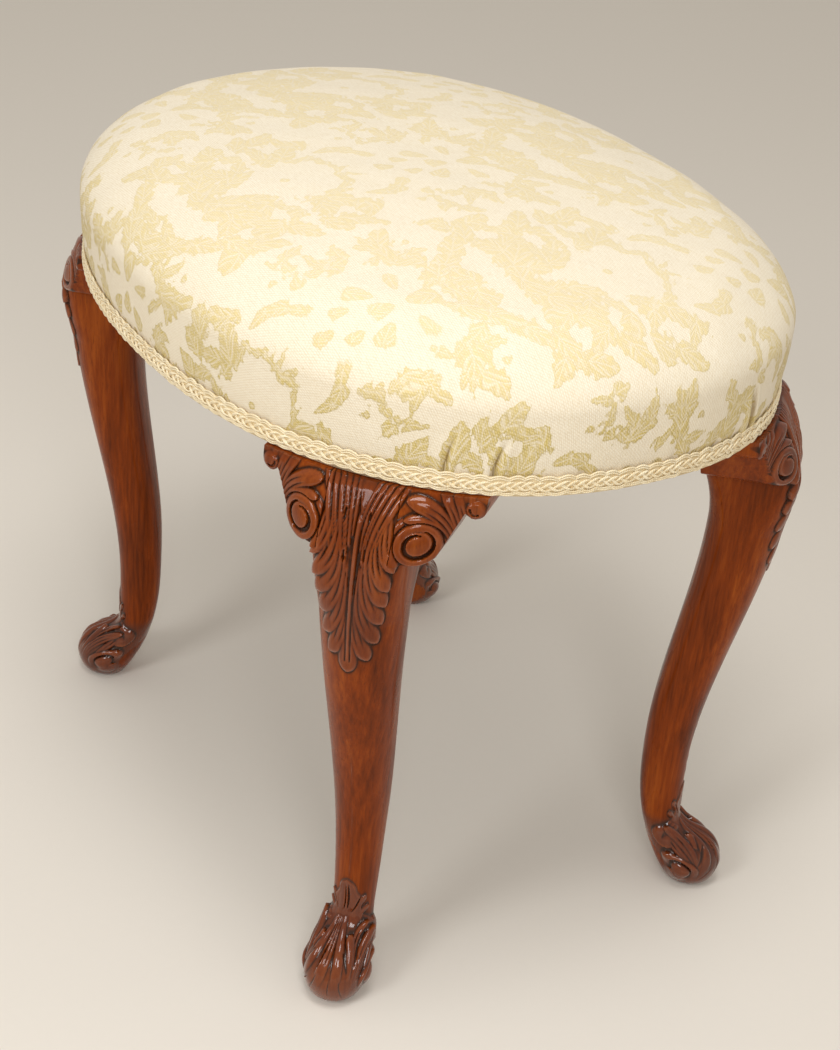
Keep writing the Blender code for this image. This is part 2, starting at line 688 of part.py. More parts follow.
def braid_mesh():
    """Braid glued over the cover's raw edge: a band with a corded upper and lower border."""
    top = SEAT_UNDERSIDE + BRAID_HEIGHT
    cord = BRAID_HEIGHT * BRAID_CORD_SHARE
    hollow = BRAID_THICKNESS * BRAID_HOLLOW_SHARE
    section = [
        (BRAID_THICKNESS, SEAT_UNDERSIDE),
        (hollow, SEAT_UNDERSIDE),
        (0.0, SEAT_UNDERSIDE + cord / 2),
        (hollow, SEAT_UNDERSIDE + cord),
        (hollow, top - cord),
        (0.0, top - cord / 2),
        (hollow, top),
        (BRAID_THICKNESS, top),
    ]
    return closed_band("braid", [oval_ring(inset, z, OVAL_SIDES) for inset, z in section])


def dust_cover_mesh():
    """Cloth tacked under the rails, cut away round the legs and brackets."""
    top = SEAT_UNDERSIDE - GAP
    low = top - DUST_COVER_THICKNESS
    whole = loft("dust", [oval_ring(RAIL_INSET + DUST_COVER_EDGE, z, OVAL_SIDES) for z in (low, top)])
    bracket_back = oval_front(TIP_OFFSET + TIP_RADIUS, RAIL_INNER_INSET) - GAP * 3
    bracket_end = TIP_OFFSET + TIP_RADIUS + GAP * 3
    leg_back = POST_BACK - GAP * 3
    leg_half = JOINT_HALF + GAP * 3
    clear = -POST_BACK
    outline = [
        (leg_back, -leg_half),
        (leg_back, leg_half),
        (bracket_back, leg_half),
        (bracket_back, bracket_end),
        (clear, bracket_end),
        (clear, -bracket_end),
        (bracket_back, -bracket_end),
        (bracket_back, -leg_half),
    ]
    notches = []
    for corner in CORNERS.values():
        notch = prism("notch", outline, low - BRAID_HEIGHT, top + BRAID_HEIGHT)
        notches.append(placed(notch, leg_matrix(corner)))
    return boolean(whole, notches, "DIFFERENCE")


def build_legs(walnut, stool):
    leg = leg_mesh()
    ears = {1: ear_mesh(1), -1: ear_mesh(-1)}
    for name, corner in CORNERS.items():
        matrix = leg_matrix(corner)
        made = add(f"leg_{name}", leg, walnut)
        made.matrix_world = matrix
        made.parent = stool
        for side, ear in ears.items():
            bracket = add(f"knee_bracket_{name}_{rail_beside(corner, side)}", ear, walnut)
            bracket.matrix_world = matrix
            bracket.parent = stool


def build_frame(beech, steel, stool):
    order = ["front_right", "back_right", "back_left", "front_left"]
    names = ["rail_right", "rail_back", "rail_left", "rail_front"]
    holes = []
    for corner in CORNERS.values():
        holes += [placed(screw_mesh("hole", side, GAP), leg_matrix(corner)) for side in (1, -1)]
    for i, name in enumerate(names):
        rail = rail_mesh(CORNERS[order[i]], CORNERS[order[(i + 1) % 4]])
        bored = boolean(rail, [hole.copy() for hole in holes], "DIFFERENCE")
        add(name, bored, beech).parent = stool
    for name, corner in CORNERS.items():
        add(f"corner_block_{name}", block_mesh(corner), beech).parent = stool
    screws = {side: screw_mesh("screw", side, 0.0) for side in (1, -1)}
    for name, corner in CORNERS.items():
        for side, screw in screws.items():
            made = add(f"corner_screw_{name}_{rail_beside(corner, side)}", screw, steel)
            made.matrix_world = leg_matrix(corner)
            made.parent = stool


def build_seat(cloths, stool):
    for i in range(LENGTHWISE_STRAPS):
        add(f"webbing_lengthwise_{i + 1}", strap_mesh(True, i), cloths["jute"]).parent = stool
    for i in range(CROSSWISE_STRAPS):
        add(f"webbing_crosswise_{i + 1}", strap_mesh(False, i), cloths["jute"]).parent = stool
    hessian_inset = RAIL_INSET + STRAP_EDGE / 2
    hessian_levels = (HESSIAN_BOTTOM, HESSIAN_BOTTOM + HESSIAN_THICKNESS)
    hessian = [oval_ring(hessian_inset, z, OVAL_SIDES) for z in hessian_levels]
    layers = {
        "hessian_base": (loft("hessian", hessian), "hessian"),
        "seat_stuffing": (stuffing_mesh(), "hair"),
        "seat_cover": (cover_mesh(), "damask"),
        "edge_braid": (braid_mesh(), "braid"),
        "dust_cover": (dust_cover_mesh(), "lining"),
    }
    for name, (mesh, cloth) in layers.items():
        add(name, mesh, cloths[cloth]).parent = stool


def main():
    for old in list(bpy.data.objects):
        bpy.data.objects.remove(old)
    stool = bpy.data.objects.new("stool", None)
    bpy.context.scene.collection.objects.link(stool)
    walnut = material("walnut", (0.20, 0.062, 0.020), 0.28)
    beech = material("beech", (0.55, 0.38, 0.22), 0.6)
    steel = material("steel", (0.55, 0.55, 0.57), 0.35, 1.0)
    cloths = {
        "jute": material("jute", (0.45, 0.34, 0.20), 0.9),
        "hessian": material("hessian", (0.48, 0.36, 0.21), 0.95),
        "hair": material("hair", (0.16, 0.12, 0.09), 0.95),
        "damask": material("damask", (0.80, 0.72, 0.50), 0.85),
        "braid": material("braid", (0.72, 0.58, 0.34), 0.8),
        "lining": material("lining", (0.03, 0.03, 0.03), 0.95),
    }
    build_legs(walnut, stool)
    build_frame(beech, steel, stool)
    build_seat(cloths, stool)


main()
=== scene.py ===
import math

import bpy
import numpy as np
from mathutils import Matrix, Vector


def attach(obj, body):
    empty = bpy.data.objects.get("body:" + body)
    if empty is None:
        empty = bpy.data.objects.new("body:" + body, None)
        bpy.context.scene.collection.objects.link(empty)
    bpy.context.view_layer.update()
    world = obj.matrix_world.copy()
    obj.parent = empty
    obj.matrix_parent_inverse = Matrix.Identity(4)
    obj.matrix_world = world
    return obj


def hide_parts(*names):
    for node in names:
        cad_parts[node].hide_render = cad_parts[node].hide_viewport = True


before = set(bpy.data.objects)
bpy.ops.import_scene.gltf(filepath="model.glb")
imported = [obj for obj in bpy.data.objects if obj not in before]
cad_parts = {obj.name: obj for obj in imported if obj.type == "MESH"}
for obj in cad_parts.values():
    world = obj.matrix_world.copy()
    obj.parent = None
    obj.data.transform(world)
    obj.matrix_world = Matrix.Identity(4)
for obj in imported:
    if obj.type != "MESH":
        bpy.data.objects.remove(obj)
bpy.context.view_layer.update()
scene = bpy.context.scene
mm = 0.001

# small tools shared by the pieces (lengths inside them are millimetres)


def clamp01(x):
    return np.clip(x, 0.0, 1.0)


def ease(x):
    # smooth step from 0 to 1, level at both ends
    x = clamp01(x)
    return x * x * (3 - 2 * x)


def mix(a, b, x):
    return a + (b - a) * x


def stretches(first, *parts):
    # values from the first one on, evenly spaced within each part, which is given as its end and how many
    values = [np.array([first], float)]
    for end, count in parts:
        values.append(np.linspace(values[-1][-1], end, count + 1)[1:])
    return np.concatenate(values)


def softNoise(points, scale, seed):
    # sum of five sine waves in seeded directions, about -1 to 1
    rng = np.random.default_rng(seed)
    total = np.zeros(points.shape[:-1])
    for _ in range(5):
        way = rng.normal(size=points.shape[-1])
        way /= np.linalg.norm(way)
        pace = 2 * math.pi / scale * rng.uniform(0.6, 1.7)
        total += np.sin(points @ way * pace + rng.uniform(0, 6.28))
    return total / 2.6


def addObject(name, data):
    made = bpy.data.objects.new(name, data)
    scene.collection.objects.link(made)
    return made


def meshPiece(name, points, quads, tris=None, uv=None, fields=None):
    # points in millimetres, quads and tris as index arrays, uv per point, fields as named values per point
    points = np.asarray(points, float).reshape(-1, 3) * mm
    quads = np.asarray(quads, np.int32).reshape(-1, 4)
    tris = np.zeros((0, 3), np.int32) if tris is None else np.asarray(tris, np.int32).reshape(-1, 3)
    corners = np.concatenate([quads.ravel(), tris.ravel()])
    starts = np.concatenate([np.arange(len(quads)) * 4, len(quads) * 4 + np.arange(len(tris)) * 3])
    mesh = bpy.data.meshes.new(name)
    mesh.vertices.add(len(points))
    mesh.vertices.foreach_set("co", points.astype(np.float32).ravel())
    mesh.loops.add(len(corners))
    mesh.loops.foreach_set("vertex_index", corners.astype(np.int32))
    mesh.polygons.add(len(starts))
    mesh.polygons.foreach_set("loop_start", starts.astype(np.int32))
    mesh.update(calc_edges=True)
    mesh.validate()
    if uv is not None:
        layer = mesh.uv_layers.new(name="weave")
        loopVerts = np.zeros(len(mesh.loops), np.int32)
        mesh.loops.foreach_get("vertex_index", loopVerts)
        layer.data.foreach_set("uv", np.asarray(uv, np.float32).reshape(-1, 2)[loopVerts].ravel())
    for key, values in (fields or {}).items():
        layer = mesh.attributes.new(key, "FLOAT", "POINT")
        layer.data.foreach_set("value", np.asarray(values, np.float32).ravel())
    mesh.shade_smooth()
    return addObject(name, mesh)


def tubeFaces(rows, cols):
    # quads of a grid whose columns run round a loop, row 0 at the low end
    r, c = np.meshgrid(np.arange(rows - 1), np.arange(cols), indexing="ij")
    n = (c + 1) % cols
    low, high = r * cols, (r + 1) * cols
    return np.stack([low + c, low + n, high + n, high + c], axis=-1).reshape(-1, 4)


def fanFaces(ring, centre, flip):
    tri = np.stack([np.full(len(ring), centre), ring, np.roll(ring, -1)], axis=1)
    return tri[:, ::-1] if flip else tri


def closedRings(points, turned=False, lift=0.02):
    # rings joined to a tube with a fan at both ends: all points and the two middles, quads and triangles; the
    # faces are turned round where the rings run downwards, and the first middle lies a hair higher
    rows, cols = points.shape[:2]
    count = rows * cols
    middles = np.array([points[0].mean(0), points[-1].mean(0)])
    middles[0, 2] += lift
    ring = np.arange(cols)
    quads = tubeFaces(rows, cols)
    tris = np.concatenate([fanFaces(ring, count, True), fanFaces(ring + count - cols, count + 1, False)])
    if turned:
        quads, tris = quads[:, ::-1], tris[:, ::-1]
    return np.concatenate([points.reshape(-1, 3), middles]), quads, tris


def loopedFaces(rows, cols):
    # quads of a grid that closes on itself both ways
    r, c = np.meshgrid(np.arange(rows), np.arange(cols), indexing="ij")
    m, n = (r + 1) % rows, (c + 1) % cols
    return np.stack([r * cols + c, m * cols + c, m * cols + n, r * cols + n], -1).reshape(-1, 4)


def gridNormals(points):
    # outward normals of a tube grid: columns wrap, rows don't
    along = np.gradient(points, axis=0)
    around = np.roll(points, -1, axis=1) - np.roll(points, 1, axis=1)
    n = np.cross(around, along)
    return n / np.maximum(np.linalg.norm(n, axis=-1, keepdims=True), 1e-9)


def blurred(field, times, wrap):
    # repeated three-point average on a grid; columns wrap if asked
    for _ in range(times):
        tall = np.pad(field, ((1, 1), (0, 0)), "edge")
        field = (tall[:-2] + 2 * field + tall[2:]) / 4
        wide = np.pad(field, ((0, 0), (1, 1)), "wrap" if wrap else "edge")
        field = (wide[:, :-2] + 2 * field + wide[:, 2:]) / 4
    return field


# finishes


class Nodes:
    # short way to wire one material's nodes; an underscore stands for the space in a socket's name
    def __init__(self, name):
        self.material = bpy.data.materials.new(name)
        self.material.use_nodes = True
        self.tree = self.material.node_tree
        self.shader = self.tree.nodes["Principled BSDF"]

    def put(self, target, value):
        if isinstance(value, bpy.types.NodeSocket):
            self.tree.links.new(value, target)
        else:
            target.default_value = value

    def fill(self, node, values):
        for key, value in values.items():
            self.put(node.inputs[key.replace("_", " ")], value)

    def set(self, **values):
        self.fill(self.shader, values)

    def make(self, kind, **values):
        node = self.tree.nodes.new("ShaderNode" + kind)
        self.fill(node, values)
        return node

    def coords(self, kind="Object", scale=(1, 1, 1), turn=(0, 0, 0)):
        source = self.make("TexCoord").outputs[kind]
        return self.make("Mapping", Vector=source, Scale=scale, Rotation=turn).outputs[0]

    def field(self, name):
        node = self.make("Attribute")
        node.attribute_name = name
        return node.outputs["Fac"]

    def noise(self, where, scale, detail=2.0, rough=0.5, distortion=0.0):
        values = {"Scale": scale, "Detail": detail, "Roughness": rough, "Distortion": distortion}
        return self.make("TexNoise", Vector=where, **values).outputs["Fac"]

    def wave(self, where, scale, axis, distortion, detail, detailScale):
        values = {"Scale": scale, "Distortion": distortion, "Detail": detail, "Detail_Scale": detailScale}
        node = self.make("TexWave", Vector=where, **values)
        node.bands_direction = axis
        return node.outputs["Fac"]

    def math(self, operation, *values, clamp=False):
        node = self.make("Math")
        node.operation = operation
        node.use_clamp = clamp
        for socket, value in zip(node.inputs, values):
            self.put(socket, value)
        return node.outputs[0]

    def plus(self, a, b, clamp=False):
        return self.math("ADD", a, b, clamp=clamp)

    def minus(self, a, b):
        return self.math("SUBTRACT", a, b)

    def times(self, a, b):
        return self.math("MULTIPLY", a, b)

    def span(self, value, low, high, outLow=0.0, outHigh=1.0):
        values = {"From_Min": low, "From_Max": high, "To_Min": outLow, "To_Max": outHigh}
        return self.make("MapRange", Value=value, **values).outputs[0]

    def ramp(self, value, places, colours):
        node = self.make("ValToRGB", Fac=value)
        elements = node.color_ramp.elements
        while len(elements) < len(places):
            elements.new(0.5)
        for element, place, colour in zip(elements, places, colours):
            element.position = place
            element.color = (*colour, 1)
        return node.outputs["Color"]

    def blend(self, share, a, b):
        node = self.make("Mix")
        node.data_type = "RGBA"
        second = b if isinstance(b, bpy.types.NodeSocket) else (*b, 1)
        self.fill(node, {"Factor": share, "A": a, "B": second})
        return node.outputs["Result"]

    def bump(self, height, strength, distance):
        return self.make("Bump", Height=height, Strength=strength, Distance=distance).outputs["Normal"]


polish = {
    "dark": (0.078, 0.0130, 0.0018), "middle": (0.198, 0.0330, 0.0028), "light": (0.315, 0.068, 0.0070),
    "waxAndShade": (0.0130, 0.0048, 0.0022), "roughness": (0.20, 0.36), "coatRoughness": 0.06,
    "carvedDarkening": 0.60, "deepestWaxAndShade": 0.90, "crestHighlight": 0.35, "warmReflection": (1.0, 0.50, 0.24, 1),
}


def polishedWalnut():
    # streaked brown wood under shellac: fine grain drawn out along the leg; the carving darker, with dark wax
    # and painted shade in its hollows and a painted highlight on its crests
    n = Nodes("polishedWalnut")
    broad = n.noise(n.coords(scale=(26, 26, 4.5)), 1.0, 3.0, 0.55, 0.6)
    grain = n.noise(n.coords(scale=(420, 420, 22)), 1.0, 3.0, 0.6, 0.2)
    pores = n.noise(n.coords(scale=(1500, 1500, 60)), 1.0, 1.0)
    tone = n.plus(n.times(broad, 0.62), n.times(grain, 0.38))
    wood = n.ramp(tone, (0.33, 0.50, 0.66), (polish["dark"], polish["middle"], polish["light"]))
    wood = n.blend(n.span(pores, 0.60, 0.72, 0.0, 0.45), wood, polish["dark"])
    # darkening of the carving, dark wax and painted shade in its hollows, painted highlight on its crests
    carved, hollow, crest = (n.field(name) for name in ("carved", "recess", "crest"))
    # the carving darkened towards the dark wood colour, most on the foot
    darkening = n.math("MINIMUM", n.times(carved, 1.3), polish["carvedDarkening"])
    wood = n.blend(darkening, wood, polish["dark"])
    # painted shade: the hollows darkened towards the dark wax colour, standing for shade as well as wax
    mottled = n.times(hollow, n.span(n.noise(n.coords(), 330), 0.3, 0.7, 0.75, 1.1))
    wood = n.blend(n.math("MINIMUM", mottled, polish["deepestWaxAndShade"]), wood, polish["waxAndShade"])
    # painted highlight: the crests blended towards the light wood colour
    wood = n.blend(n.times(crest, polish["crestHighlight"]), wood, polish["light"])
    rough = n.span(n.noise(n.coords(scale=(60, 60, 20)), 1.0, 3.0), 0.3, 0.7, *polish["roughness"])
    rough = n.plus(rough, n.times(hollow, 0.22))
    coat = n.plus(n.span(carved, 0.0, 1.0, 0.15, 0.90), n.times(crest, 0.6), clamp=True)
    n.set(Base_Color=wood, Roughness=rough, Coat_Weight=coat, Coat_Roughness=polish["coatRoughness"])
    # painted reflection: the base reflection tinted warm, as if a warm room were mirrored in it
    n.set(Specular_IOR_Level=0.10, Specular_Tint=polish["warmReflection"])
    n.set(Normal=n.bump(n.plus(grain, n.times(pores, 0.5)), 0.12, 0.0004))
    return n.material


def rawBeech():
    # pale planed frame timber with short brown flecks
    n = Nodes("rawBeech")
    grain = n.noise(n.coords(scale=(60, 60, 260)), 1.0, 3.0, 0.6, 0.4)
    fleck = n.noise(n.coords(scale=(500, 500, 1500)), 1.0, 1.0)
    tones = ((0.36, 0.22, 0.11), (0.52, 0.35, 0.20), (0.60, 0.43, 0.26))
    wood = n.ramp(grain, (0.3, 0.55, 0.75), tones)
    wood = n.blend(n.span(fleck, 0.62, 0.70, 0.0, 0.5), wood, (0.24, 0.13, 0.06))
    rough = n.span(grain, 0.3, 0.7, 0.55, 0.72)
    n.set(Base_Color=wood, Roughness=rough, Normal=n.bump(grain, 0.2, 0.0003))
    return n.material


def plainSteel():
    # bare screws and tacks, dulled in patches
    n = Nodes("plainSteel")
    worn = n.noise(n.coords(), 900, 3.0)
    metal = n.ramp(worn, (0.3, 0.7), ((0.30, 0.29, 0.28), (0.56, 0.56, 0.57)))
    rough = n.span(worn, 0.3, 0.7, 0.28, 0.5)
    n.set(Base_Color=metal, Metallic=1.0, Roughness=rough, Normal=n.bump(worn, 0.1, 0.0002))
    return n.material


def wovenCloth(name, dark, light, pitch):
    # plain weave on Object coordinates: two crossed sets of threads, uneven along their length
    n = Nodes(name)
    where = n.coords()
    across, along = (n.wave(where, 0.314 / pitch, axis, 1.2, 2.0, 2.0) for axis in "XY")
    threads = n.math("MAXIMUM", across, along)
    slub = n.noise(n.coords(scale=(1, 6, 1)), 0.08 / pitch, 3.0)
    tone = n.plus(n.times(threads, 0.6), n.times(slub, 0.4))
    n.set(Base_Color=n.ramp(tone, (0.25, 0.75), (dark, light)), Roughness=0.9)
    n.set(Sheen_Weight=0.2, Sheen_Roughness=0.5, Normal=n.bump(threads, 0.5, pitch * 0.3))
    return n.material


clothLook = {
    "ground": ((0.75, 0.635, 0.46), (0.83, 0.735, 0.57), (0.87, 0.79, 0.64)),
    "gold": ((0.74, 0.60, 0.28), (0.60, 0.455, 0.14), (0.42, 0.31, 0.06)),
    # the paler gold and its heights: painted brightness of the brightly lit top
    "litTopGold": (0.80, 0.62, 0.235), "litTopHeights": (0.405, 0.458), "slub": (0.76, 0.63, 0.40),
    # painted shade colour for the line in a deep tuck
    "crease": (0.25, 0.155, 0.045),
    "cord": ((0.74, 0.57, 0.32), (0.87, 0.72, 0.46), (0.93, 0.83, 0.61)),
    # the tape a little darker than the cords: painted shade in the gaps between them
    "tape": ((0.72, 0.54, 0.28), (0.86, 0.70, 0.42)),
}


def wovenDamask():
    # cream ground with a raised gold figure, painted paler on the top as if brightly lit; each leaf has a
    # firm outline, a pale midrib and slanting strokes, and everything is made of dotted threads along the
    # stool's length
    n = Nodes("creamDamask")
    edge = n.times(n.minus(n.noise(n.coords("UV", (230, 1000, 1)), 1.0, 2.0, 0.6), 0.5), 2.6)
    inside = n.plus(n.field("figure"), edge)
    figure = n.span(inside, -0.3, 0.4)
    lines = n.wave(n.coords("UV"), 250, "Y", 1.6, 2.0, 3.0)
    dots = n.wave(n.coords("UV", turn=(0, 0, 0.8)), 200, "X", 2.6, 2.0, 3.0)
    weft = n.noise(n.coords("UV", (170, 1300, 1)), 1.0, 2.0, 0.6)
    slub = n.noise(n.coords("UV", (16, 60, 1)), 1.0, 3.0, 0.6)
    thread = n.plus(n.times(n.times(lines, dots), 0.5), n.times(weft, 0.6))
    ground = n.ramp(thread, (0.25, 0.42, 0.70), clothLook["ground"])
    # outline and strokes make a leaf deeper, its midrib and the seam to the next leaf make it paler
    across = n.math("ABSOLUTE", n.field("leafAcross"))
    slant = n.minus(n.field("leafAlong"), n.times(across, 1.2))
    stroke = n.math("ABSOLUTE", n.math("SINE", n.times(n.plus(slant, n.times(edge, 0.5)), 0.95)))
    outline = n.span(inside, 0.3, 1.5, 1.0, 0.0)
    midrib = n.span(across, 0.2, 0.8, 0.55, 0.0)
    seam = n.span(n.field("leafSeam"), 0.3, 1.2, 0.85, 0.0)
    pale = n.times(n.math("MAXIMUM", midrib, seam), n.span(inside, 0.8, 1.6))
    depth = n.plus(n.times(outline, 0.24), n.times(n.span(stroke, 0.35, 0.95), 0.28))
    depth = n.plus(depth, n.span(thread, 0.2, 0.75, 0.6, -0.25), clamp=True)
    gold = n.ramp(depth, (0.0, 0.45, 1.0), clothLook["gold"])
    # painted light: from these heights up the gold is paler and the figure fainter, as on the brightly lit
    # top
    height = n.make("SeparateXYZ", Vector=n.coords()).outputs["Z"]
    litTop = n.span(height, *clothLook["litTopHeights"])
    gold = n.blend(n.times(litTop, 0.8), gold, clothLook["litTopGold"])
    # ragged gaps that follow the strokes
    feather = n.make("CombineXYZ", X=n.times(slant, 0.30), Y=n.times(across, 0.08)).outputs[0]
    gaps = n.span(n.noise(feather, 1.0), 0.53, 0.62, 0.0, 0.65)
    pale = n.math("MAXIMUM", pale, n.times(gaps, n.span(inside, 0.4, 1.4)))
    shown = n.times(figure, n.minus(1.0, pale))
    shown = n.times(shown, n.span(weft, 0.38, 0.52, 0.45, 1.0))
    shown = n.times(shown, n.minus(1.0, n.times(litTop, 0.46)))
    cloth = n.blend(shown, ground, gold)
    cloth = n.blend(n.span(slub, 0.35, 0.70, 0.0, 0.12), cloth, clothLook["slub"])
    # painted shade: dark line along a deep tuck
    line = n.span(n.math("ABSOLUTE", n.field("creaseAside")), 0.25, 1.0, 1.0, 0.0)
    line = n.times(line, n.span(n.field("creaseShade"), 0.1, 0.7, 0.0, 0.75))
    cloth = n.blend(line, cloth, clothLook["crease"])
    lift = n.plus(n.times(thread, 0.6), n.times(shown, 0.6))
    n.set(Base_Color=cloth, Roughness=n.minus(0.88, n.times(figure, 0.22)), Specular_IOR_Level=0.25)
    n.set(Sheen_Weight=0.06, Sheen_Roughness=0.45, Normal=n.bump(lift, 0.5, 0.0007))
    return n.material


def giltCord():
    # smooth pale cords over a woven tape that is coloured darker as painted shade between the cords
    n = Nodes("giltBraid")
    twist = n.wave(n.coords("UV", turn=(0, 0, 0.7)), 300, "X", 2.0, 2.0, 2.0)
    patchy = n.noise(n.coords("UV", (90, 300, 1)), 1.0, 3.0)
    tone = n.plus(n.times(twist, 0.35), n.times(patchy, 0.65))
    cord = n.ramp(tone, (0.25, 0.45, 0.70), clothLook["cord"])
    tape = n.ramp(patchy, (0.3, 0.7), clothLook["tape"])
    n.set(Base_Color=n.blend(n.field("tape"), cord, tape), Roughness=0.6)
    n.set(Sheen_Weight=0.15, Sheen_Roughness=0.4, Normal=n.bump(twist, 0.4, 0.0003))
    return n.material


walnut = polishedWalnut()
beech = rawBeech()
steel = plainSteel()
jute = wovenCloth("juteWebbing", (0.22, 0.15, 0.08), (0.50, 0.38, 0.22), 0.0016)
hessian = wovenCloth("hessianCloth", (0.24, 0.17, 0.09), (0.52, 0.40, 0.24), 0.0022)
lining = wovenCloth("blackLining", (0.008, 0.008, 0.008), (0.045, 0.043, 0.042), 0.0009)
gilt = giltCord()
damask = wovenDamask()
print("finishes done")

# camera, floor and light, in metres

view = {
    "azimuth": 58.3995, "elevation": 29.5691, "roll": 5.038, "place": (1.01155, -0.60531, 0.87332),
    "sensor": 36, "focalPixels": 1973.24, "photoHeight": 1050,
}


def makeCamera():
    az, el, roll = (math.radians(view[k]) for k in ("azimuth", "elevation", "roll"))
    back = Vector((math.sin(az) * math.cos(el), -math.cos(az) * math.cos(el), math.sin(el)))
    right = (-back).cross(Vector((0, 0, 1))).normalized()
    up = right.cross(-back)
    x = math.cos(roll) * right + math.sin(roll) * up
    y = -math.sin(roll) * right + math.cos(roll) * up
    camera = bpy.data.cameras.new("photoCamera")
    camera.lens = view["sensor"] * view["focalPixels"] / view["photoHeight"]
    camera.sensor_width = view["sensor"]
    camera.sensor_fit = "AUTO"
    camera.clip_start = 0.01
    scene.camera = addObject("photoCamera", camera)
    turned = Matrix((x, y, back)).transposed().to_4x4()
    scene.camera.matrix_world = Matrix.Translation(view["place"]) @ turned
    scene.view_settings.view_transform = "Standard"


studio = {
    "floorHalf": 6.0, "floorColour": (0.80, 0.735, 0.645), "speckleShade": 0.985, "speckleScale": 160,
    "worldColour": (1.0, 0.965, 0.91), "worldStrength": 0.54,
    "lamps": {  # place, aim, size, watts, colour
        "overhead": ((0.42, -0.28, 1.9), (0.0, 0.0, 0.3), 0.6, 11.0, (0.96, 0.975, 1.0)),
        "windowLeft": ((0.62, -1.75, 1.42), (0.1, -0.05, 0.25), 0.62, 11.1, (0.93, 0.965, 1.0)),
        "nearCamera": ((1.6, -0.75, 1.35), (0.05, 0.0, 0.28), 0.55, 9.8, (0.95, 0.975, 1.0)),
    },
}


def makeStudio():
    world = bpy.data.worlds.new("studioAir")
    scene.world = world
    world.use_nodes = True
    sky = world.node_tree.nodes["Background"]
    sky.inputs["Color"].default_value = (*studio["worldColour"], 1)
    sky.inputs["Strength"].default_value = studio["worldStrength"]
    for name, (place, aim, size, watts, colour) in studio["lamps"].items():
        lamp = bpy.data.lights.new(name, "AREA")
        lamp.size = size
        lamp.energy = watts
        lamp.color = colour
        holder = addObject(name, lamp)
        holder.location = place
        holder.rotation_euler = (Vector(place) - Vector(aim)).to_track_quat("Z", "Y").to_euler()
    # pale floor with a faint speckle
    half, pale = studio["floorHalf"], studio["floorColour"]
    mesh = bpy.data.meshes.new("floor")
    square = [(-half, -half, 0), (half, -half, 0), (half, half, 0), (-half, half, 0)]
    mesh.from_pydata(square, [], [(0, 1, 2, 3)])
    n = Nodes("paleFloor")
    darker = [c * studio["speckleShade"] for c in pale]
    speckle = n.noise(n.coords(), studio["speckleScale"])
    n.set(Base_Color=n.ramp(speckle, (0, 1), (darker, pale)), Roughness=0.9)
    mesh.materials.append(n.material)
    addObject("floor", mesh)


makeCamera()
makeStudio()
print("camera and studio done")

# carved legs

legShape = {
    # the seat's oval, the leg's place on it and its levels
    "halfLength": 261.0, "halfWidth": 198.25, "ovalPower": 2.26, "planAngle": 35.2, "turn": 49.5,
    "underside": 368.5, "top": 368.2, "postTop": 423.5, "earSeat": 328.3,
    # front line, back line and half width, as places with their heights
    "soleFront": 5.5, "toeFront": 16.4, "toeHeight": 15.5, "ankleFront": -16.5, "ankleLow": 53.5,
    "ankleHigh": 88.5, "kneeFront": 18.4, "kneeHeight": 317.0, "topFront": 1.0,
    "soleBack": -18.0, "calfBack": -47.0, "calfHeight": 110.5, "heelPower": 2.75, "pitBack": -30.3,
    "pitHeight": 283.5, "postBack": -46.0, "flareHeight": 338.5,
    "soleHalf": 8.5, "toeHalf": 19.6, "ankleHalf": 13.0, "kneeHalf": 28.2, "kneeHalfHeight": 325.5,
    "jointHalf": 21.0, "postHalf": 20.7, "railInset": 6.5, "postGap": (2.0, 0.3),
    # power of the section's superellipse: on the shank, added at the knee, added to the shank's back corners
    "shankPower": 2.05, "kneePower": 5.5, "cornerPower": 0.75,
    "cornerLow": 95, "cornerHigh": 330, "cornerRun": 60,
    # the foot's carving lies below the split, the knee's above it, both within a reach round from the front
    "carvingSplit": 200.0, "carvedReach": 48.0, "squareOn": 316, "toolMarks": 0.10, "tipThinning": 0.55,
    "kneeDarkening": 0.3, "footDarkTop": 56, "sharpAngle": 50,
}


def ovalReach(angle, inset=0.0):
    # distance from the middle to the seat's oval in a plan direction
    a, b = legShape["halfLength"] - inset, legShape["halfWidth"] - inset
    p = legShape["ovalPower"]
    return ((abs(np.cos(angle)) / a) ** p + (abs(np.sin(angle)) / b) ** p) ** (-1 / p)


legAngle = math.radians(legShape["planAngle"])
legTurn = math.radians(legShape["turn"])
legX = float(ovalReach(legAngle)) * math.cos(legAngle)
legY = float(ovalReach(legAngle)) * math.sin(legAngle)


def ovalFront(t, inset=0.0):
    # where the oval crosses a line beside the leg's middle plane, mean of both sides, by halving
    t = np.asarray(t, float)
    total = np.zeros_like(t)
    for side in (1, -1):
        near, far = np.full_like(t, -120.0), np.full_like(t, 60.0)
        for _ in range(36):
            s = (near + far) / 2
            x = legX + s * math.cos(legTurn) + side * t * math.sin(legTurn)
            y = legY + s * math.sin(legTurn) - side * t * math.cos(legTurn)
            inside = np.hypot(x, y) < ovalReach(np.arctan2(y, x), inset)
            near, far = np.where(inside, s, near), np.where(inside, far, s)
        total += near / 2
    return total


def share(z, low, high):
    # place between two named levels of the leg, 0 to 1
    return (z - legShape[low]) / (legShape[high] - legShape[low])


def bulb(z, height, start, full):
    # quarter ellipse rising from the sole
    return start + (full - start) * np.sqrt(clamp01(1 - (1 - np.minimum(z, height) / height) ** 2))


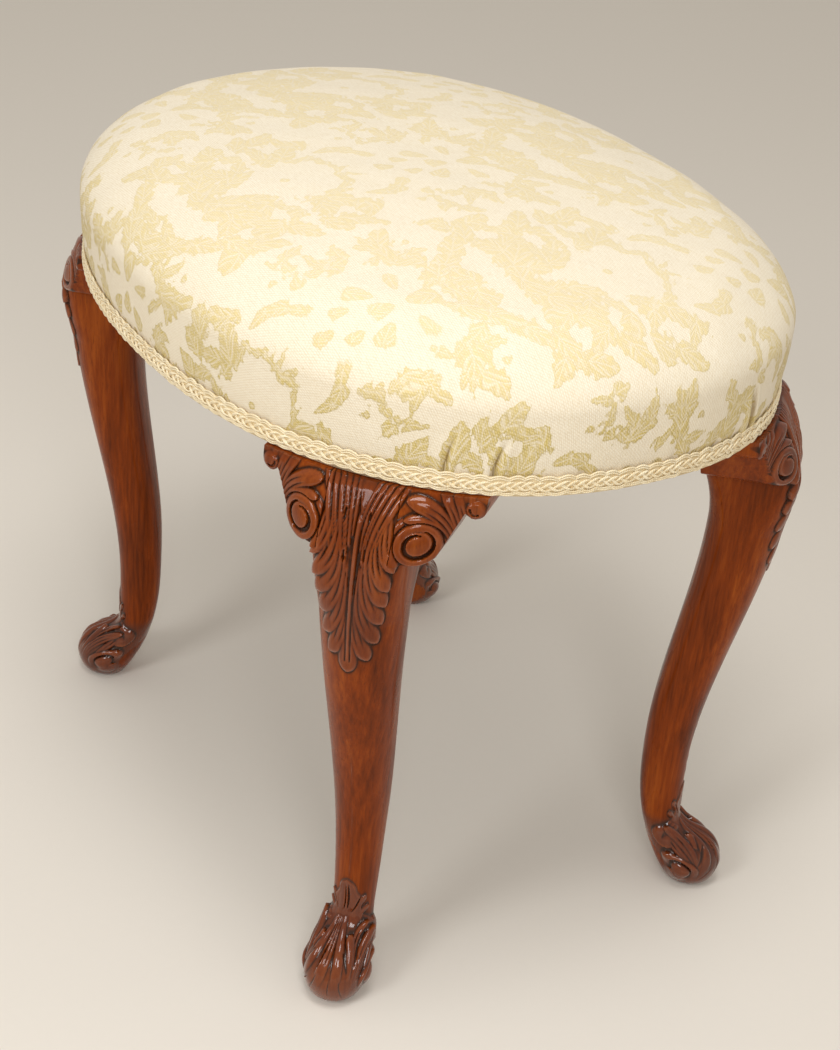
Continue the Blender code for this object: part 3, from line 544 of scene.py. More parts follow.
def frontLine(z):
    # round toe, hollow ankle, swelling knee, falling back to the seat
    k = legShape
    toe = bulb(z, k["toeHeight"], k["soleFront"], k["toeFront"])
    instep = mix(k["toeFront"], k["ankleFront"], ease(share(z, "toeHeight", "ankleLow")))
    shin = mix(k["ankleFront"], k["kneeFront"], ease(share(z, "ankleHigh", "kneeHeight")))
    crest = mix(k["kneeFront"], k["topFront"], clamp01(share(z, "kneeHeight", "top")) ** 2)
    below = [z < k[level] for level in ("toeHeight", "ankleLow", "kneeHeight")]
    return np.select(below, [toe, instep, shin], crest)


def backLine(z):
    # rolled heel, calf, hollow behind the knee, flare into the post
    k = legShape
    heel = mix(k["calfBack"], k["soleBack"], clamp01(1 - z / k["calfHeight"]) ** k["heelPower"])
    calf = mix(k["calfBack"], k["pitBack"], ease(share(z, "calfHeight", "pitHeight")))
    flare = mix(k["pitBack"], k["postBack"], clamp01(share(z, "pitHeight", "flareHeight")) ** 2)
    return np.select([z < k["calfHeight"], z < k["pitHeight"]], [heel, calf], flare)


def halfLine(z):
    # half the width: round toe, narrow ankle, widening steadily to the knee
    k = legShape
    toe = bulb(z, k["toeHeight"], k["soleHalf"], k["toeHalf"])
    instep = mix(k["toeHalf"], k["ankleHalf"], ease(share(z, "toeHeight", "ankleLow")))
    rise = mix(k["ankleHalf"], k["kneeHalf"], clamp01(share(z, "ankleLow", "kneeHalfHeight")) ** 1.2)
    return np.select([z < k["toeHeight"], z < k["ankleLow"]], [toe, instep], rise)


def squareness(z):
    # power of the section in front: round shank, broad flat knee
    broad = clamp01(share(z, "pitHeight", "underside")) ** 1.25
    return legShape["shankPower"] + legShape["kneePower"] * broad


def backSquareness(z):
    # behind, the shank has firmer corners
    k = legShape
    firm = ease((z - k["cornerLow"]) / k["cornerRun"]) * ease((k["cornerHigh"] - z) / k["cornerRun"])
    return squareness(z) + k["cornerPower"] * firm


def kneeFace(t, z):
    # front of the leg's section at a sideways offset
    depth = (frontLine(z) - backLine(z)) / 2
    p = squareness(z)
    return (frontLine(z) + backLine(z)) / 2 + depth * clamp01(1 - (abs(t) / halfLine(z)) ** p) ** (1 / p)


# a carved lobe: four points of its spine, half width, share of it at the root, height at root and tip, number
# of ridges, and how far it dies out at the tip where given; points are (sideways, down from the seat)
kneeLeaf = {
    # drawn for one side and mirrored
    "lobes": [
        ((0, 78), (0, 92), (0, 104), (0, 118.5), 5.6, 0.5, 0.9, 2.4, 2),
        ((2.4, 60), (2.8, 82), (5, 97), (11.8, 107.5), 5.0, 0.27, 1.0, 2.9, 3),
        ((4.4, 42), (4.6, 66), (7, 84), (16.8, 94.5), 5.6, 0.27, 1.2, 3.3, 3),
        ((6.6, 32), (6.8, 52), (9, 70), (18.8, 80.5), 6.0, 0.27, 1.4, 3.6, 3),
        ((9.0, 24), (9.2, 40), (11, 56), (20.2, 67), 6.0, 0.28, 1.6, 3.9, 3),
        ((11.8, 17), (11.4, 32), (13.2, 46), (21.2, 55.5), 5.4, 0.3, 1.8, 4.3, 3),
        ((18, 6), (15.6, 20), (16.2, 34), (24.6, 43.5), 4.8, 0.4, 1.6, 4.2, 3),
    ],
    # uneven sheaf above them
    "fan": [
        ((2.4, 30), (2.0, 18), (4.4, 8), (10.5, -6), 1.5, 0.6, 1.5, 1.9, 1),
        ((4.2, 38), (3.4, 22), (6.2, 11), (14.0, -6), 1.7, 0.6, 1.6, 2.1, 1),
        ((6.4, 46), (5.2, 28), (8.4, 14), (17.8, -6), 1.9, 0.6, 1.7, 2.3, 2),
        ((8.8, 52), (7.2, 34), (10.4, 18), (21.5, -5), 2.0, 0.6, 1.8, 2.5, 1),
        ((11.4, 58), (9.4, 40), (12.4, 22), (24.5, -2), 2.1, 0.6, 1.9, 2.7, 2),
        ((-1.2, 30), (-1.6, 18), (-2.6, 8), (-3.8, -8), 1.4, 0.6, 1.5, 1.9, 1),
        ((-2.6, 36), (-3.6, 20), (-5.4, 9), (-7.2, -8), 1.7, 0.6, 1.6, 2.1, 1),
        ((-3.8, 42), (-5.6, 25), (-8.6, 12), (-10.8, -8), 1.8, 0.6, 1.7, 2.3, 2),
        ((-5.0, 48), (-7.4, 30), (-11.6, 15), (-14.4, -8), 1.9, 0.6, 1.8, 2.4, 1),
        ((-6.4, 54), (-9.2, 36), (-14.8, 19), (-18.0, -8), 1.9, 0.6, 1.9, 2.6, 2),
        ((-8.0, 60), (-11.2, 42), (-18.0, 24), (-21.5, -6), 1.9, 0.6, 2.0, 2.8, 1),
    ],
    # deep slits: sideways, down, half width, half length
    "slits": [(-7.4, 18, 0.7, 4.0), (6.6, 17.5, 0.7, 3.6), (-4.8, 40, 0.7, 4.0), (7.0, 37.5, 0.7, 4.0)],
    # smooth patch at the sheaf's fork: aside, how far down, height, half width at the top, rise
    "patch": (1.6, 19, 17, 4.6, 1.3),
    "grooveDepth": 0.6, "fanGroove": 0.4,
    "stemHalf": 1.35, "stemHeight": 2.2, "stemStart": 13, "stemEnd": 113,
    # how far the stem leans aside at places down
    "lean": ((0, 0.6), (18, 1.4), (48, 1.5), (82, 0.4), (118, -0.5)),
}

footLeaf = {
    # lobes as (sideways, height above the floor); these run over the toe, some with a curled upper tip
    "lobes": [
        ((-25, 20), (-22, 31), (-14, 38), (-17.5, 47.5), 4.2, 0.6, 0.3, 3.4, 2),
        ((-15.5, 31), (-12, 34.5), (-10, 37), (-8.5, 39.5), 2.0, 0.6, 1.0, 2.6, 1),
        ((-3.5, 51), (-5, 40), (-8, 31), (-24, 12), 2.6, 0.5, 1.2, 2.6, 1, 1.0),
        ((-1.6, 52), (-1.4, 38), (-2.2, 30), (-5.5, 14), 3.2, 0.45, 1.0, 2.8, 3, 1.0),
        ((0.5, 52), (2.2, 40), (4.2, 32), (7.5, 14), 2.8, 0.55, 1.2, 3.4, 1, 1.0),
        ((14, 20), (10.8, 31), (9.6, 36), (6.4, 41), 2.4, 0.5, 0.3, 3.0, 1),
        ((13, 27), (10.2, 36), (9.4, 43), (15.2, 47), 2.4, 0.6, 0.4, 3.4, 2),
        ((19, 17), (16.6, 28), (16.4, 37), (22.5, 42.5), 4.2, 0.6, 0.3, 3.6, 3),
    ],
    # at both sides: lobe over the scroll, tongue beside it, two leaf tips up the ankle
    "sides": [
        ((9, 47), (17, 45), (26, 41), (34.5, 33), 4.8, 0.45, 1.0, 2.6, 2),
        ((10, 50), (20, 45), (28, 37), (29.5, 12), 3.2, 0.5, 0.8, 2.8, 2, 0.6),
        ((4, 52), (7, 57), (9, 61), (11.5, 66), 1.9, 0.5, 0.6, 1.3, 1),
        ((6, 49), (9, 52), (11, 54), (14.0, 58), 1.9, 0.5, 0.6, 1.3, 1),
    ],
    # leaf up the ankle: half width at heights
    "ankle": ((42, 13), (50, 11), (58, 10.2), (64, 9.4), (68, 7.6), (72, 6), (76, 3.2), (78.5, 0)),
    "ankleHeight": 0.9,
    # cuts: sideways, height, lean, half width, half length
    "cuts": [
        (-1.2, 64, 0.05, 0.45, 10), (0.7, 65, 0.04, 0.7, 10), (-8.0, 59, -0.45, 0.45, 5.5),
        (5.9, 60, 0.37, 0.6, 7), (-16.8, 26, 1.15, 1.1, 6), (8.6, 29, -0.6, 0.9, 4.8),
        (13.6, 33, -0.2, 0.7, 6), (-4.6, 30, 0.3, 0.5, 6), (10.5, 15, -0.35, 0.5, 7),
        (3.0, 16, -0.1, 0.45, 6), (-8.0, 17, 0.4, 0.5, 6), (-17.0, 14, 0.9, 0.5, 5),
    ],
    "grooveDepth": 0.62, "ball": 3.6, "ballHeight": 30, "ballHalf": (11.5, 31),
    # round boss at each side under a crescent, each with its radius and height
    "boss": (35.5, 16.8), "bossRadius": 6.6, "bossRise": 2.9, "bandRadius": 12.4, "bandRise": 2.7,
    "apronRise": 1.9,
}


def lobeHeight(u, v, lobe, grooveDepth):
    # nearest point on a cubic spine gives place along (0..1) and offset: a dome with V grooves, blunt tip
    p0, p1, p2, p3 = (np.array(p, float) for p in lobe[:4])
    half, rootShare, root, tip, ridges, fade = (*lobe[4:], 0.0)[:6]
    x = np.linspace(0, 1, 48)[:, None]
    spine = (1 - x) ** 3 * p0 + 3 * (1 - x) ** 2 * x * p1 + 3 * (1 - x) * x**2 * p2 + x**3 * p3
    way = np.gradient(spine, axis=0)
    way /= np.linalg.norm(way, axis=1, keepdims=True)
    low, high = spine.min(0) - half - 1, spine.max(0) + half + 1
    near = (u > low[0]) & (u < high[0]) & (v > low[1]) & (v < high[1])
    height = np.zeros_like(u)
    if not near.any():
        return height
    here = np.stack([u[near], v[near]], axis=1)
    pick = ((here[:, None, :] - spine[None]) ** 2).sum(-1).argmin(1)
    gap = here - spine[pick]
    forward = (gap * way[pick]).sum(1)
    side = gap[:, 0] * way[pick][:, 1] - gap[:, 1] * way[pick][:, 0]
    length = np.linalg.norm(np.diff(spine, axis=0), axis=1).sum()
    place = pick / (len(spine) - 1) + forward / length
    swell = half * mix(rootShare, 1.0, ease(place / 0.62))
    blunt = np.sqrt(clamp01(1 - clamp01((place - 0.80) / 0.20) ** 2))
    width = swell * blunt + 1e-6
    q = side / width
    dome = clamp01(1 - np.abs(q) ** 2.6) ** 0.55
    ridge = np.abs(np.cos(ridges * math.pi / 2 * q + (0 if ridges % 2 else math.pi / 2))) ** 0.55
    groove = 1 - grooveDepth * (1 - ridge) * (1 - 0.95 * ease((place - 0.55) / 0.27))
    rise = mix(root, tip, ease(place) ** 1.1) * ease(place / 0.12 + 0.15)
    rise = rise * (1 - fade * ease((place - 0.5) / 0.5))
    inside = (place > -0.02) & (place < 1.0) & (np.abs(q) < 1)
    height[near] = np.where(inside, rise * dome * groove, 0.0)
    return height


def highestLobe(u, v, lobes, grooveDepth):
    return np.max([lobeHeight(u, v, lobe, grooveDepth) for lobe in lobes], axis=0)


def cutInto(relief, off, wide, along, long):
    # sinks an oval cut a little below the bare surface
    cut = clamp01(1 - (off / wide) ** 2 - (along / long) ** 2)
    return relief - (relief + 0.5) * cut**0.6


def kneeRelief(u, z):
    # lobes either side of a leaning stem, above them a sheaf of flutes, a smooth patch at its fork, and slits
    k = kneeLeaf
    v = legShape["underside"] - z
    places, shifts = zip(*k["lean"])
    away = np.abs(u - np.interp(v, places, shifts) * (1 - ease((np.abs(u) - 8) / 10)))
    fan = highestLobe(u, v, k["fan"], k["fanGroove"])
    aside, down, tall, wide, rise = k["patch"]
    patch = rise * ease(wide * (down - v) / tall - np.abs(u - aside) + 0.3)
    total = np.maximum(np.maximum(fan, patch), highestLobe(away, v, k["lobes"], k["grooveDepth"]))
    for slitU, slitV, halfWide, halfLong in k["slits"]:
        total = cutInto(total, u - slitU, halfWide, v - slitV, halfLong)
    # stem that narrows downwards, with a moat cut at both sides
    start, end = k["stemStart"], k["stemEnd"]
    half = k["stemHalf"] * (1.25 - 0.7 * clamp01(v / (end + 2)))
    stem = k["stemHeight"] * clamp01(1 - (away / half) ** 2) ** 0.5 * ease((v - start) / 8) * (v < end)
    moat = clamp01(1 - np.abs(away - half - 0.6) / 0.7) * ease((v - start - 1) / 24) * (v < end - 2)
    return np.maximum(total * (1 - 0.7 * moat), stem) * (0.5 + 0.5 * ease(v / 5))


def footRelief(u, z):
    # tongues over a round toe, a pointed leaf up the ankle, and at each side a round boss under a crescent
    k = footLeaf
    sway = u + 0.6 * np.sin(z / 5.5)
    total = highestLobe(sway, z, k["lobes"], k["grooveDepth"])
    total = np.maximum(total, highestLobe(np.abs(u), z, k["sides"], k["grooveDepth"]))
    levels, halves = zip(*k["ankle"])
    edge = np.interp(z, levels, halves, right=0) + 0.7 * np.sin(z / 1.9)
    flute = 0.8 + 0.2 * np.abs(np.cos(2.5 * math.pi * sway / np.maximum(edge, 1)))
    leaf = k["ankleHeight"] * ease((edge - np.abs(sway)) / 1.6) * flute * ease((z - 43) / 9)
    total = np.maximum(total, leaf)
    for cutU, cutZ, lean, wide, tall in k["cuts"]:
        total = cutInto(total, sway - cutU - lean * (z - cutZ), wide, z - cutZ, tall)
    x, y = np.abs(u) - k["boss"][0], z - k["boss"][1]
    r, turn = np.hypot(x, y), np.degrees(np.arctan2(y, x)) % 360
    inner, outer = k["bossRadius"], k["bandRadius"]
    middle = (inner + outer) / 2 + 0.2
    horn = ease((turn - 5) / 70) * ease((215 - turn) / 70)
    band = k["bandRise"] * clamp01(1 - ((r - middle) / (outer - middle)) ** 2) ** 0.7 * horn
    boss = k["bossRise"] * clamp01(1 - (r / inner) ** 2) ** 0.7
    apron = k["apronRise"] * clamp01(1 - np.abs(r - inner + 1.5) / 6) * ease((turn - 215) / 40)
    scroll = np.maximum(np.maximum(boss, band), apron)
    total = np.where(r < outer, np.maximum(scroll, total * ease((r - middle) / 2)), total)
    tall, wide = k["ballHalf"]
    ball = k["ball"] * np.exp(-((z - k["ballHeight"]) / tall) ** 2) * clamp01(1 - (u / wide) ** 2)
    return total * ease((z - 2) / 8), ball


def legRow(z, cheeks, shares):
    # half section from front to back, sampled at shares of its length: s, t and distance from the front
    angle = np.linspace(0, math.pi, 720)
    lines = (frontLine, backLine, halfLine, squareness, backSquareness)
    front, back, half, pFront, pBack = (float(line(np.array(z))) for line in lines)
    depth = (front - back) / 2
    p = np.where(angle < math.pi / 2, pFront, pBack)
    reach = ((abs(np.cos(angle)) / depth) ** p + (abs(np.sin(angle)) / half) ** p) ** (-1 / p)
    s, t = (front + back) / 2 + reach * np.cos(angle), reach * np.sin(angle)
    if cheeks:
        t = np.minimum(t, legShape["jointHalf"])
    run = np.concatenate([[0], np.cumsum(np.hypot(np.diff(s), np.diff(t)))])
    at = shares * run[-1]
    return np.interp(at, run, s), np.interp(at, run, t), at


def recessFields(height, wrap):
    # hollows lie below their narrow and wide surroundings, crests above the narrow ones
    low = blurred(height, 7, wrap) - height
    wide = blurred(height, 22, wrap) - height
    recess = clamp01(low / 0.38) * 0.75 + clamp01(wide / 0.75) * 0.70
    carved = clamp01(3 * blurred(height > 0.25, 4, wrap))
    return {"recess": clamp01(recess), "crest": clamp01(-low / 0.5), "carved": carved}


def carvedLeg():
    # rows up the leg by columns round it; the relief stands out along the surface normal
    k = legShape
    shares = stretches(0, (0.43, 81), (0.74, 37), (1, 7))
    plain = stretches(0, (82, 117), (242, 31), (k["earSeat"], 135))
    crest = np.linspace(k["earSeat"], k["top"], 66)
    rows = [legRow(z, False, shares) for z in plain] + [legRow(z, True, shares) for z in crest]
    heights = np.concatenate([plain, crest])
    s, t, run = (np.array([row[i] for row in rows]) for i in range(3))
    cheek = (t > k["jointHalf"] - 1e-6) & (np.arange(len(heights)) >= len(plain))[:, None]
    z = np.repeat(heights[:, None], s.shape[1], axis=1)
    # the other half mirrored
    points = np.concatenate([np.stack([s, t, z], -1), np.stack([s, -t, z], -1)[:, -2:0:-1]], axis=1)
    run = np.concatenate([run, -run[:, -2:0:-1]], axis=1)
    cheek = np.concatenate([cheek, cheek[:, -2:0:-1]], axis=1)
    z = points[..., 2]
    onKnee = z > k["carvingSplit"]
    tongues, ball = footRelief(run, z)
    relief = np.where(onKnee, kneeRelief(run, z), tongues)
    relief = np.where(cheek | (np.abs(run) > k["carvedReach"]), 0.0, relief)
    # at the top it stands out straight ahead, as on the brackets
    out = gridNormals(points)
    ahead = ease((z - k["squareOn"]) / 16)[..., None]
    out = out * (1 - ahead) + np.array([1.0, 0, 0]) * ahead
    out /= np.linalg.norm(out, axis=-1, keepdims=True)
    toolMarks = k["toolMarks"] * softNoise(points, 9.0, 4) * (relief > 0.3)
    # the leaf on the knee thins towards its tip
    thin = np.where(onKnee, 1 - k["tipThinning"] * ease((k["underside"] - z - 40) / 45), 1.0)
    carved = points + out * (relief * thin + toolMarks + ball * (z < 90))[..., None]
    fields = recessFields(relief, True)
    # the foot darker towards its bottom, over and below its carving
    footDarkening = np.maximum(fields["carved"], ease((k["footDarkTop"] - z) / 14))
    footDarkening = footDarkening * (np.abs(run) < k["carvedReach"])
    fields["carved"] = np.where(onKnee, k["kneeDarkening"] * fields["carved"], footDarkening)
    # square post above the ledge
    postFront = float(ovalFront(k["postHalf"], k["railInset"])) - k["postGap"][0]
    cols = carved.shape[1]
    angle = np.linspace(0, 2 * math.pi, cols, endpoint=False)
    squareS, squareT = (np.clip(math.sqrt(2) * f(angle), -1, 1) for f in (np.cos, np.sin))
    postBack = k["postBack"] + k["postGap"][1]
    postS = (postFront + postBack) / 2 + (postFront - postBack) / 2 * squareS
    postT = k["postHalf"] * squareT
    post = [np.stack([postS, postT, np.full(cols, level)], -1) for level in (k["top"], k["postTop"])]
    # the fields are nought on the post's two rings and the two middles
    plainPost = np.zeros(2 * cols + 2)
    fields = {name: np.append(field.ravel(), plainPost) for name, field in fields.items()}
    return np.concatenate([carved, post]), fields


corners = {"front_right": (1, -1), "front_left": (-1, -1), "back_right": (1, 1), "back_left": (-1, 1)}


def intoStool(points, corner):
    # leg frame (s outwards, t sideways) to the stool's frame by a turn about the upright
    sx, sy = corner
    turn = math.atan2(sy * math.sin(legTurn), sx * math.cos(legTurn))
    s, t = points[..., 0], points[..., 1]
    x = sx * legX + s * math.cos(turn) - t * math.sin(turn)
    y = sy * legY + s * math.sin(turn) + t * math.cos(turn)
    return np.stack([x, y, points[..., 2]], -1)


def makeLegs():
    grid, fields = carvedLeg()
    points, quads, tris = closedRings(grid, lift=0)
    for name, corner in corners.items():
        made = meshPiece(f"carved_leg_{name}", intoStool(points, corner), quads, tris, fields=fields)
        made.data.materials.append(walnut)
        made.data.set_sharp_from_angle(angle=math.radians(legShape["sharpAngle"]))
        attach(made, "root")
        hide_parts(f"leg_{name}")
    print("carved legs done,", len(quads) * 2, "triangles each")


# scrolled knee brackets

bracket = {
    "volute": (34.0, 341.0), "voluteRadius": 12.4, "voluteRise": 3.5, "band": (5.6, 8.4), "grooveDepth": 2.8,
    "tip": (60.0, 361.5), "tipRadius": 5.5, "tipRise": 2.8, "proudTip": 2.0, "bedRise": 1.2, "beadRise": 1.9,
    "railInner": 32.5, "jointGap": 0.3, "fluteGroove": 0.55,
    "faceColumns": 89, "tipColumns": 20, "faceRows": 96, "otherRows": (8, 8, 22),
    # leaf over the volute, drawn like the knee's lobes: all spring from the lower edge near the tip
    "lobes": [
        ((57, 24), (60, 17), (60, 8), (56, -4), 2.4, 0.6, 1.6, 2.0, 2),
        ((55, 28), (56.5, 18), (54, 8), (48, -4), 2.8, 0.55, 1.7, 2.3, 2),
        ((53, 31), (54, 19), (49, 8), (41, -4), 3.0, 0.5, 1.8, 2.6, 2),
        ((51, 34), (51.5, 18), (42, 7.5), (24.5, 4.5), 4.6, 0.42, 1.8, 3.4, 3),
        ((49.5, 37), (49.5, 22), (42, 13.0), (25.0, 14.5), 3.4, 0.5, 1.6, 3.1, 2),
    ],
}


def bracketUnderside(t):
    # level seat on the leg, scroll lobe, straight rise, small scrolled tip
    (vt, vz), r = bracket["volute"], bracket["voluteRadius"]
    (tt, tz), tr = bracket["tip"], bracket["tipRadius"]
    lobe = vz - np.sqrt(np.maximum(r**2 - np.maximum(0, t - vt) ** 2, 0))
    leave, leaveZ = vt + r * math.sin(math.pi / 4), vz - r * math.cos(math.pi / 4)
    arrive, lowest = tt - tr, legShape["top"] - tr / 4
    rise = np.minimum(lowest, mix(leaveZ, tz - tr / 2, clamp01((t - leave) / (arrive - leave))))
    scroll = np.minimum(lowest, tz - tr * np.sqrt(clamp01(1 - (np.abs(t - tt) / tr) ** 2)))
    return np.select([t <= leave, t <= arrive], [lobe, rise], scroll)


def bracketFace(t, z):
    # flush with the knee at the joint, dying into the oval at the tip
    joint = legShape["jointHalf"]
    proud = kneeFace(joint, z) - ovalFront(np.array(joint))
    fade = ease((t - joint) / (bracket["tip"][0] - joint))
    return ovalFront(t) + mix(proud, bracket["proudTip"], fade)


def bracketRelief(t, z):
    # volute with a spiral groove, a leaf with flutes wound round it, a small curled leaf at the tip
    (vt, vz), r0 = bracket["volute"], bracket["voluteRadius"]
    x, y = t - vt, z - vz
    v = legShape["underside"] - z
    r = np.hypot(x, y)
    turn = np.degrees(np.arctan2(y, x)) % 360
    groove = np.zeros_like(r)
    for lap in (0, 360):
        along = (turn + lap - 75) / 355
        half = 0.5 + 1.1 * np.sin(math.pi * clamp01(along))
        cut = clamp01(1 - ((r - mix(*bracket["band"], along)) / half) ** 2) ** 0.7
        groove = np.maximum(groove, np.where((along > 0) & (along < 1), cut, 0))
    disc = bracket["voluteRise"] * clamp01((r0 - r) / 0.9) ** 0.5
    disc = disc - 0.7 * clamp01(np.abs(r - 9.8) / 2.6) ** 2 * (r > 7.5) + 0.45 * clamp01(1 - (r / 6.0) ** 2)
    disc = disc - bracket["grooveDepth"] * groove
    leaf = kneeRelief(t, z)
    flutes = highestLobe(t, v, bracket["lobes"], bracket["fluteGroove"])
    # a short row of beads over the volute
    beads = bracket["beadRise"] * np.abs(np.sin(np.radians(turn - 84) * 4.6)) ** 0.5
    beads = beads * clamp01(1 - ((r - 14.6) / 2.2) ** 2) ** 0.5 * ((turn > 100) & (turn < 165))
    (tt, tz), tr = bracket["tip"], bracket["tipRadius"]
    tipR = np.hypot(t - tt, z - tz)
    tipTurn = np.degrees(np.arctan2(z - tz, t - tt)) % 360
    curl = clamp01(1 - ((tipR - 3.0) / 0.9) ** 2) * ease((tipTurn - 150) / 30) * ease((320 - tipTurn) / 30)
    notch = clamp01(1 - ((t - tt + 5.6) / 1.0) ** 2) * (z < tz - 0.5)
    tip = bracket["tipRise"] * clamp01((tr + 0.4 - tipR) / 2.2) ** 0.6
    tip = tip - 1.6 * curl * (tipR < tr) - 2.0 * notch
    bed = bracket["bedRise"] * ease((t - 44) / 10)
    rest = np.maximum(np.maximum(np.maximum(leaf, flutes), bed), np.maximum(tip, beads))
    return np.where(r < r0, np.maximum(disc, 0), rest * (0.5 + 0.5 * ease(v / 5)))


def makeBrackets():
    # columns along the bracket; each is a closed outline: carved face up, top, back down, underside
    tt, tr = bracket["tip"][0], bracket["tipRadius"]
    joint = legShape["jointHalf"] + bracket["jointGap"]
    t = stretches(joint, (tt - tr, bracket["faceColumns"]), (tt + tr, bracket["tipColumns"]))
    low = bracketUnderside(t)
    up = np.linspace(0, 1, bracket["faceRows"])
    z = low[:, None] + (legShape["top"] - low)[:, None] * up
    tGrid = np.repeat(t[:, None], len(up), axis=1)
    relief = bracketRelief(tGrid, z)
    face = np.stack([bracketFace(tGrid, z) + relief, tGrid, z], -1)
    back = ovalFront(t, bracket["railInner"])
    topShare, downShare, lowShare = (np.linspace(0, 1, n)[1:] for n in bracket["otherRows"])
    level = np.full(len(t), legShape["top"])

    def strip(a, b, share):
        return a[:, None, :] + (b - a)[:, None, :] * share[None, :, None]

    backTop, backLow = np.stack([back, t, level], -1), np.stack([back, t, low], -1)
    outline = np.concatenate([face, strip(face[:, -1], backTop, topShare), strip(backTop, backLow, downShare),
                              strip(backLow, face[:, 0], lowShare[:-1])], axis=1)
    # the fields are nought off the carved face
    rest = np.zeros((len(t), outline.shape[1] - len(up)))
    fields = {}
    for name, field in recessFields(relief, False).items():
        fields[name] = np.append(np.hstack([field, rest]).ravel(), [0, 0])
    fields["carved"] *= legShape["kneeDarkening"]
    points, quads, tris = closedRings(outline, lift=0)
    for name, corner in corners.items():
        for side in (1, -1):
            where = "end" if side * corner[0] * corner[1] < 0 else "side"
            flip = np.array([1, side, 1])
            there = intoStool(points * flip, corner)
            order = slice(None, None, -1) if side > 0 else slice(None)
            faces = quads[:, order], tris[:, order]
            made = meshPiece(f"carved_bracket_{name}_{where}", there, *faces, fields=fields)
            made.data.materials.append(walnut)
            made.data.set_sharp_from_angle(angle=math.radians(legShape["sharpAngle"]))
            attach(made, "root")
            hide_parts(f"knee_bracket_{name}_{where}")
    print("knee brackets done,", len(quads) * 2, "triangles each")


# woven figure of the cover, drawn in the flat cloth as distance inside (+) or outside (-) an edge

weave = {
    "axis": 24.6, "column": 160.0, "drop": 115.0, "start": 3.0, "lean": 0.11,
    # half of one repeat, mirrored about its upright axis: ovals as (across, up from the flower), turn, halves
    "blossom": [
        ((0, 11.5), -90, 9.5, 7.2), ((21, 4), 190, 8.6, 3.6), ((0, -11.5), 90, 6.8, 5.6),
        ((17.2, -17.2), 136, 8.6, 5.2), ((10.3, -31), 108, 5.6, 4.0), ((0, -45), 90, 6.2, 4.6),
        ((12, 22), 232, 7.0, 3.4),
        ((27.0, -48.5), -40, 9, 3.6), ((35.5, -57), -60, 8.5, 5.0), ((36.5, -66), -100, 8.5, 3.8),
        ((0, -108), 0, 3.2, 3.2), ((54, -49), 0, 2.6, 2.6), ((58, 31), 0, 2.6, 2.6),
    ],
    "leaves": [
        ((50, -13), 62, 12, 5.0), ((58, -21), -28, 11, 4.6), ((48, -25), 88, 8, 4.0), ((61, -9), 12, 9, 4.0),
        ((56, 14), -14, 17, 7.0), ((68, 20), 22, 10, 6.0), ((60, 7), -60, 7, 4.2), ((43, 4), 40, 7, 3.0),
        ((46, -38), 8, 6, 3.6), ((60, -37), 16, 9, 2.8), ((69, -42), -58, 6, 3.0), ((74, -28), 60, 8, 4.0),
        ((3, 31), 0, 20, 5.6), ((22, 32), 32, 14, 7.0), ((13, 42), -6, 14, 6.0), ((31, 42), 40, 11, 7.0),
        ((37, 22), -52, 12, 4.6), ((10, 73), 10, 13, 7.0), ((25, 80), 34, 17, 10), ((39, 72), -38, 12, 8.0),
        ((10, 86), 80, 9, 7.5), ((31, 94), -20, 13, 6), ((17, 100), 64, 12, 6.4), ((44, 88), 60, 11, 6.0),
        ((8, -76), -8, 10, 2.8), ((20, -80), -40, 10, 3.2), ((28, -89), -72, 9, 3.6), ((5, -70), 62, 6, 2.0),
        ((41, -90), 36, 14, 7.5), ((56, -83), -32, 14, 6.4), ((69, -93), 52, 13, 7.0),
        ((47, -105), -18, 13, 6.4), ((67, -109), 24, 13, 7.0), ((31, -104), 70, 9, 4.6),
        ((46, 53), 30, 13, 6.4), ((72, 57), -34, 13, 6.0), ((44, 30), 72, 9, 4.0), ((60, 66), 14, 15, 6.0),
        ((71, 80), 66, 11, 8.0), ((57, 87), -42, 14, 6.4), ((66, 104), 28, 13, 7.0),
        ((49, 109), -36, 11, 6.0), ((33, 108), 30, 9, 4.6),
    ],
    "blossomTeeth": 0.3, "leafTeeth": 0.9, "wander": 2.2,
}


def damaskFigure(x, y):
    # fields of the figure: distance inside it and to the next leaf, place along and across the nearest leaf
    k = weave
    level = y - k["start"]
    sideways = x - k["axis"] - k["lean"] * level
    column = np.round(sideways / k["column"])
    dx = np.abs(sideways - column * k["column"])
    dy = (level - k["drop"] * (column % 2) + k["drop"]) % (2 * k["drop"]) - k["drop"]
    here = np.stack([x, y], -1)
    wander = k["wander"] * softNoise(here, 30.0, 21)
    teeth = softNoise(here, 5.5, 8) + 0.7 * softNoise(here, 9.5, 9)
    best, second, along, across = (np.full_like(x, value) for value in (-6.0, -6.0, 0.0, 0.0))
    for group, shift, ragged in (("blossom", 0.0, k["blossomTeeth"]), ("leaves", 1.0, k["leafTeeth"])):
        for centre, turn, long, short in k[group]:
            c, s = math.cos(math.radians(turn)), math.sin(math.radians(turn))
            px, py = dx + shift * wander - centre[0], dy + shift * wander - centre[1]
            a, b = (px * c + py * s) / long, (-px * s + py * c) / short
            # rough distance inside a leaning oval with one end drawn out
            inside = (1 - np.hypot(a, b * (1.0 + 0.5 * np.clip(a, -1, 1)))) * short + ragged * teeth
            better = inside > best
            second = np.where(better, best, np.maximum(second, inside))
            along, across = np.where(better, a * long, along), np.where(better, b * short, across)
            best = np.where(better, inside, best)
    figure, seam = np.clip(best, -4, 4), np.clip(best - second, 0, 6)
    return {"figure": figure, "leafSeam": seam, "leafAlong": along, "leafAcross": across}


# padded seat

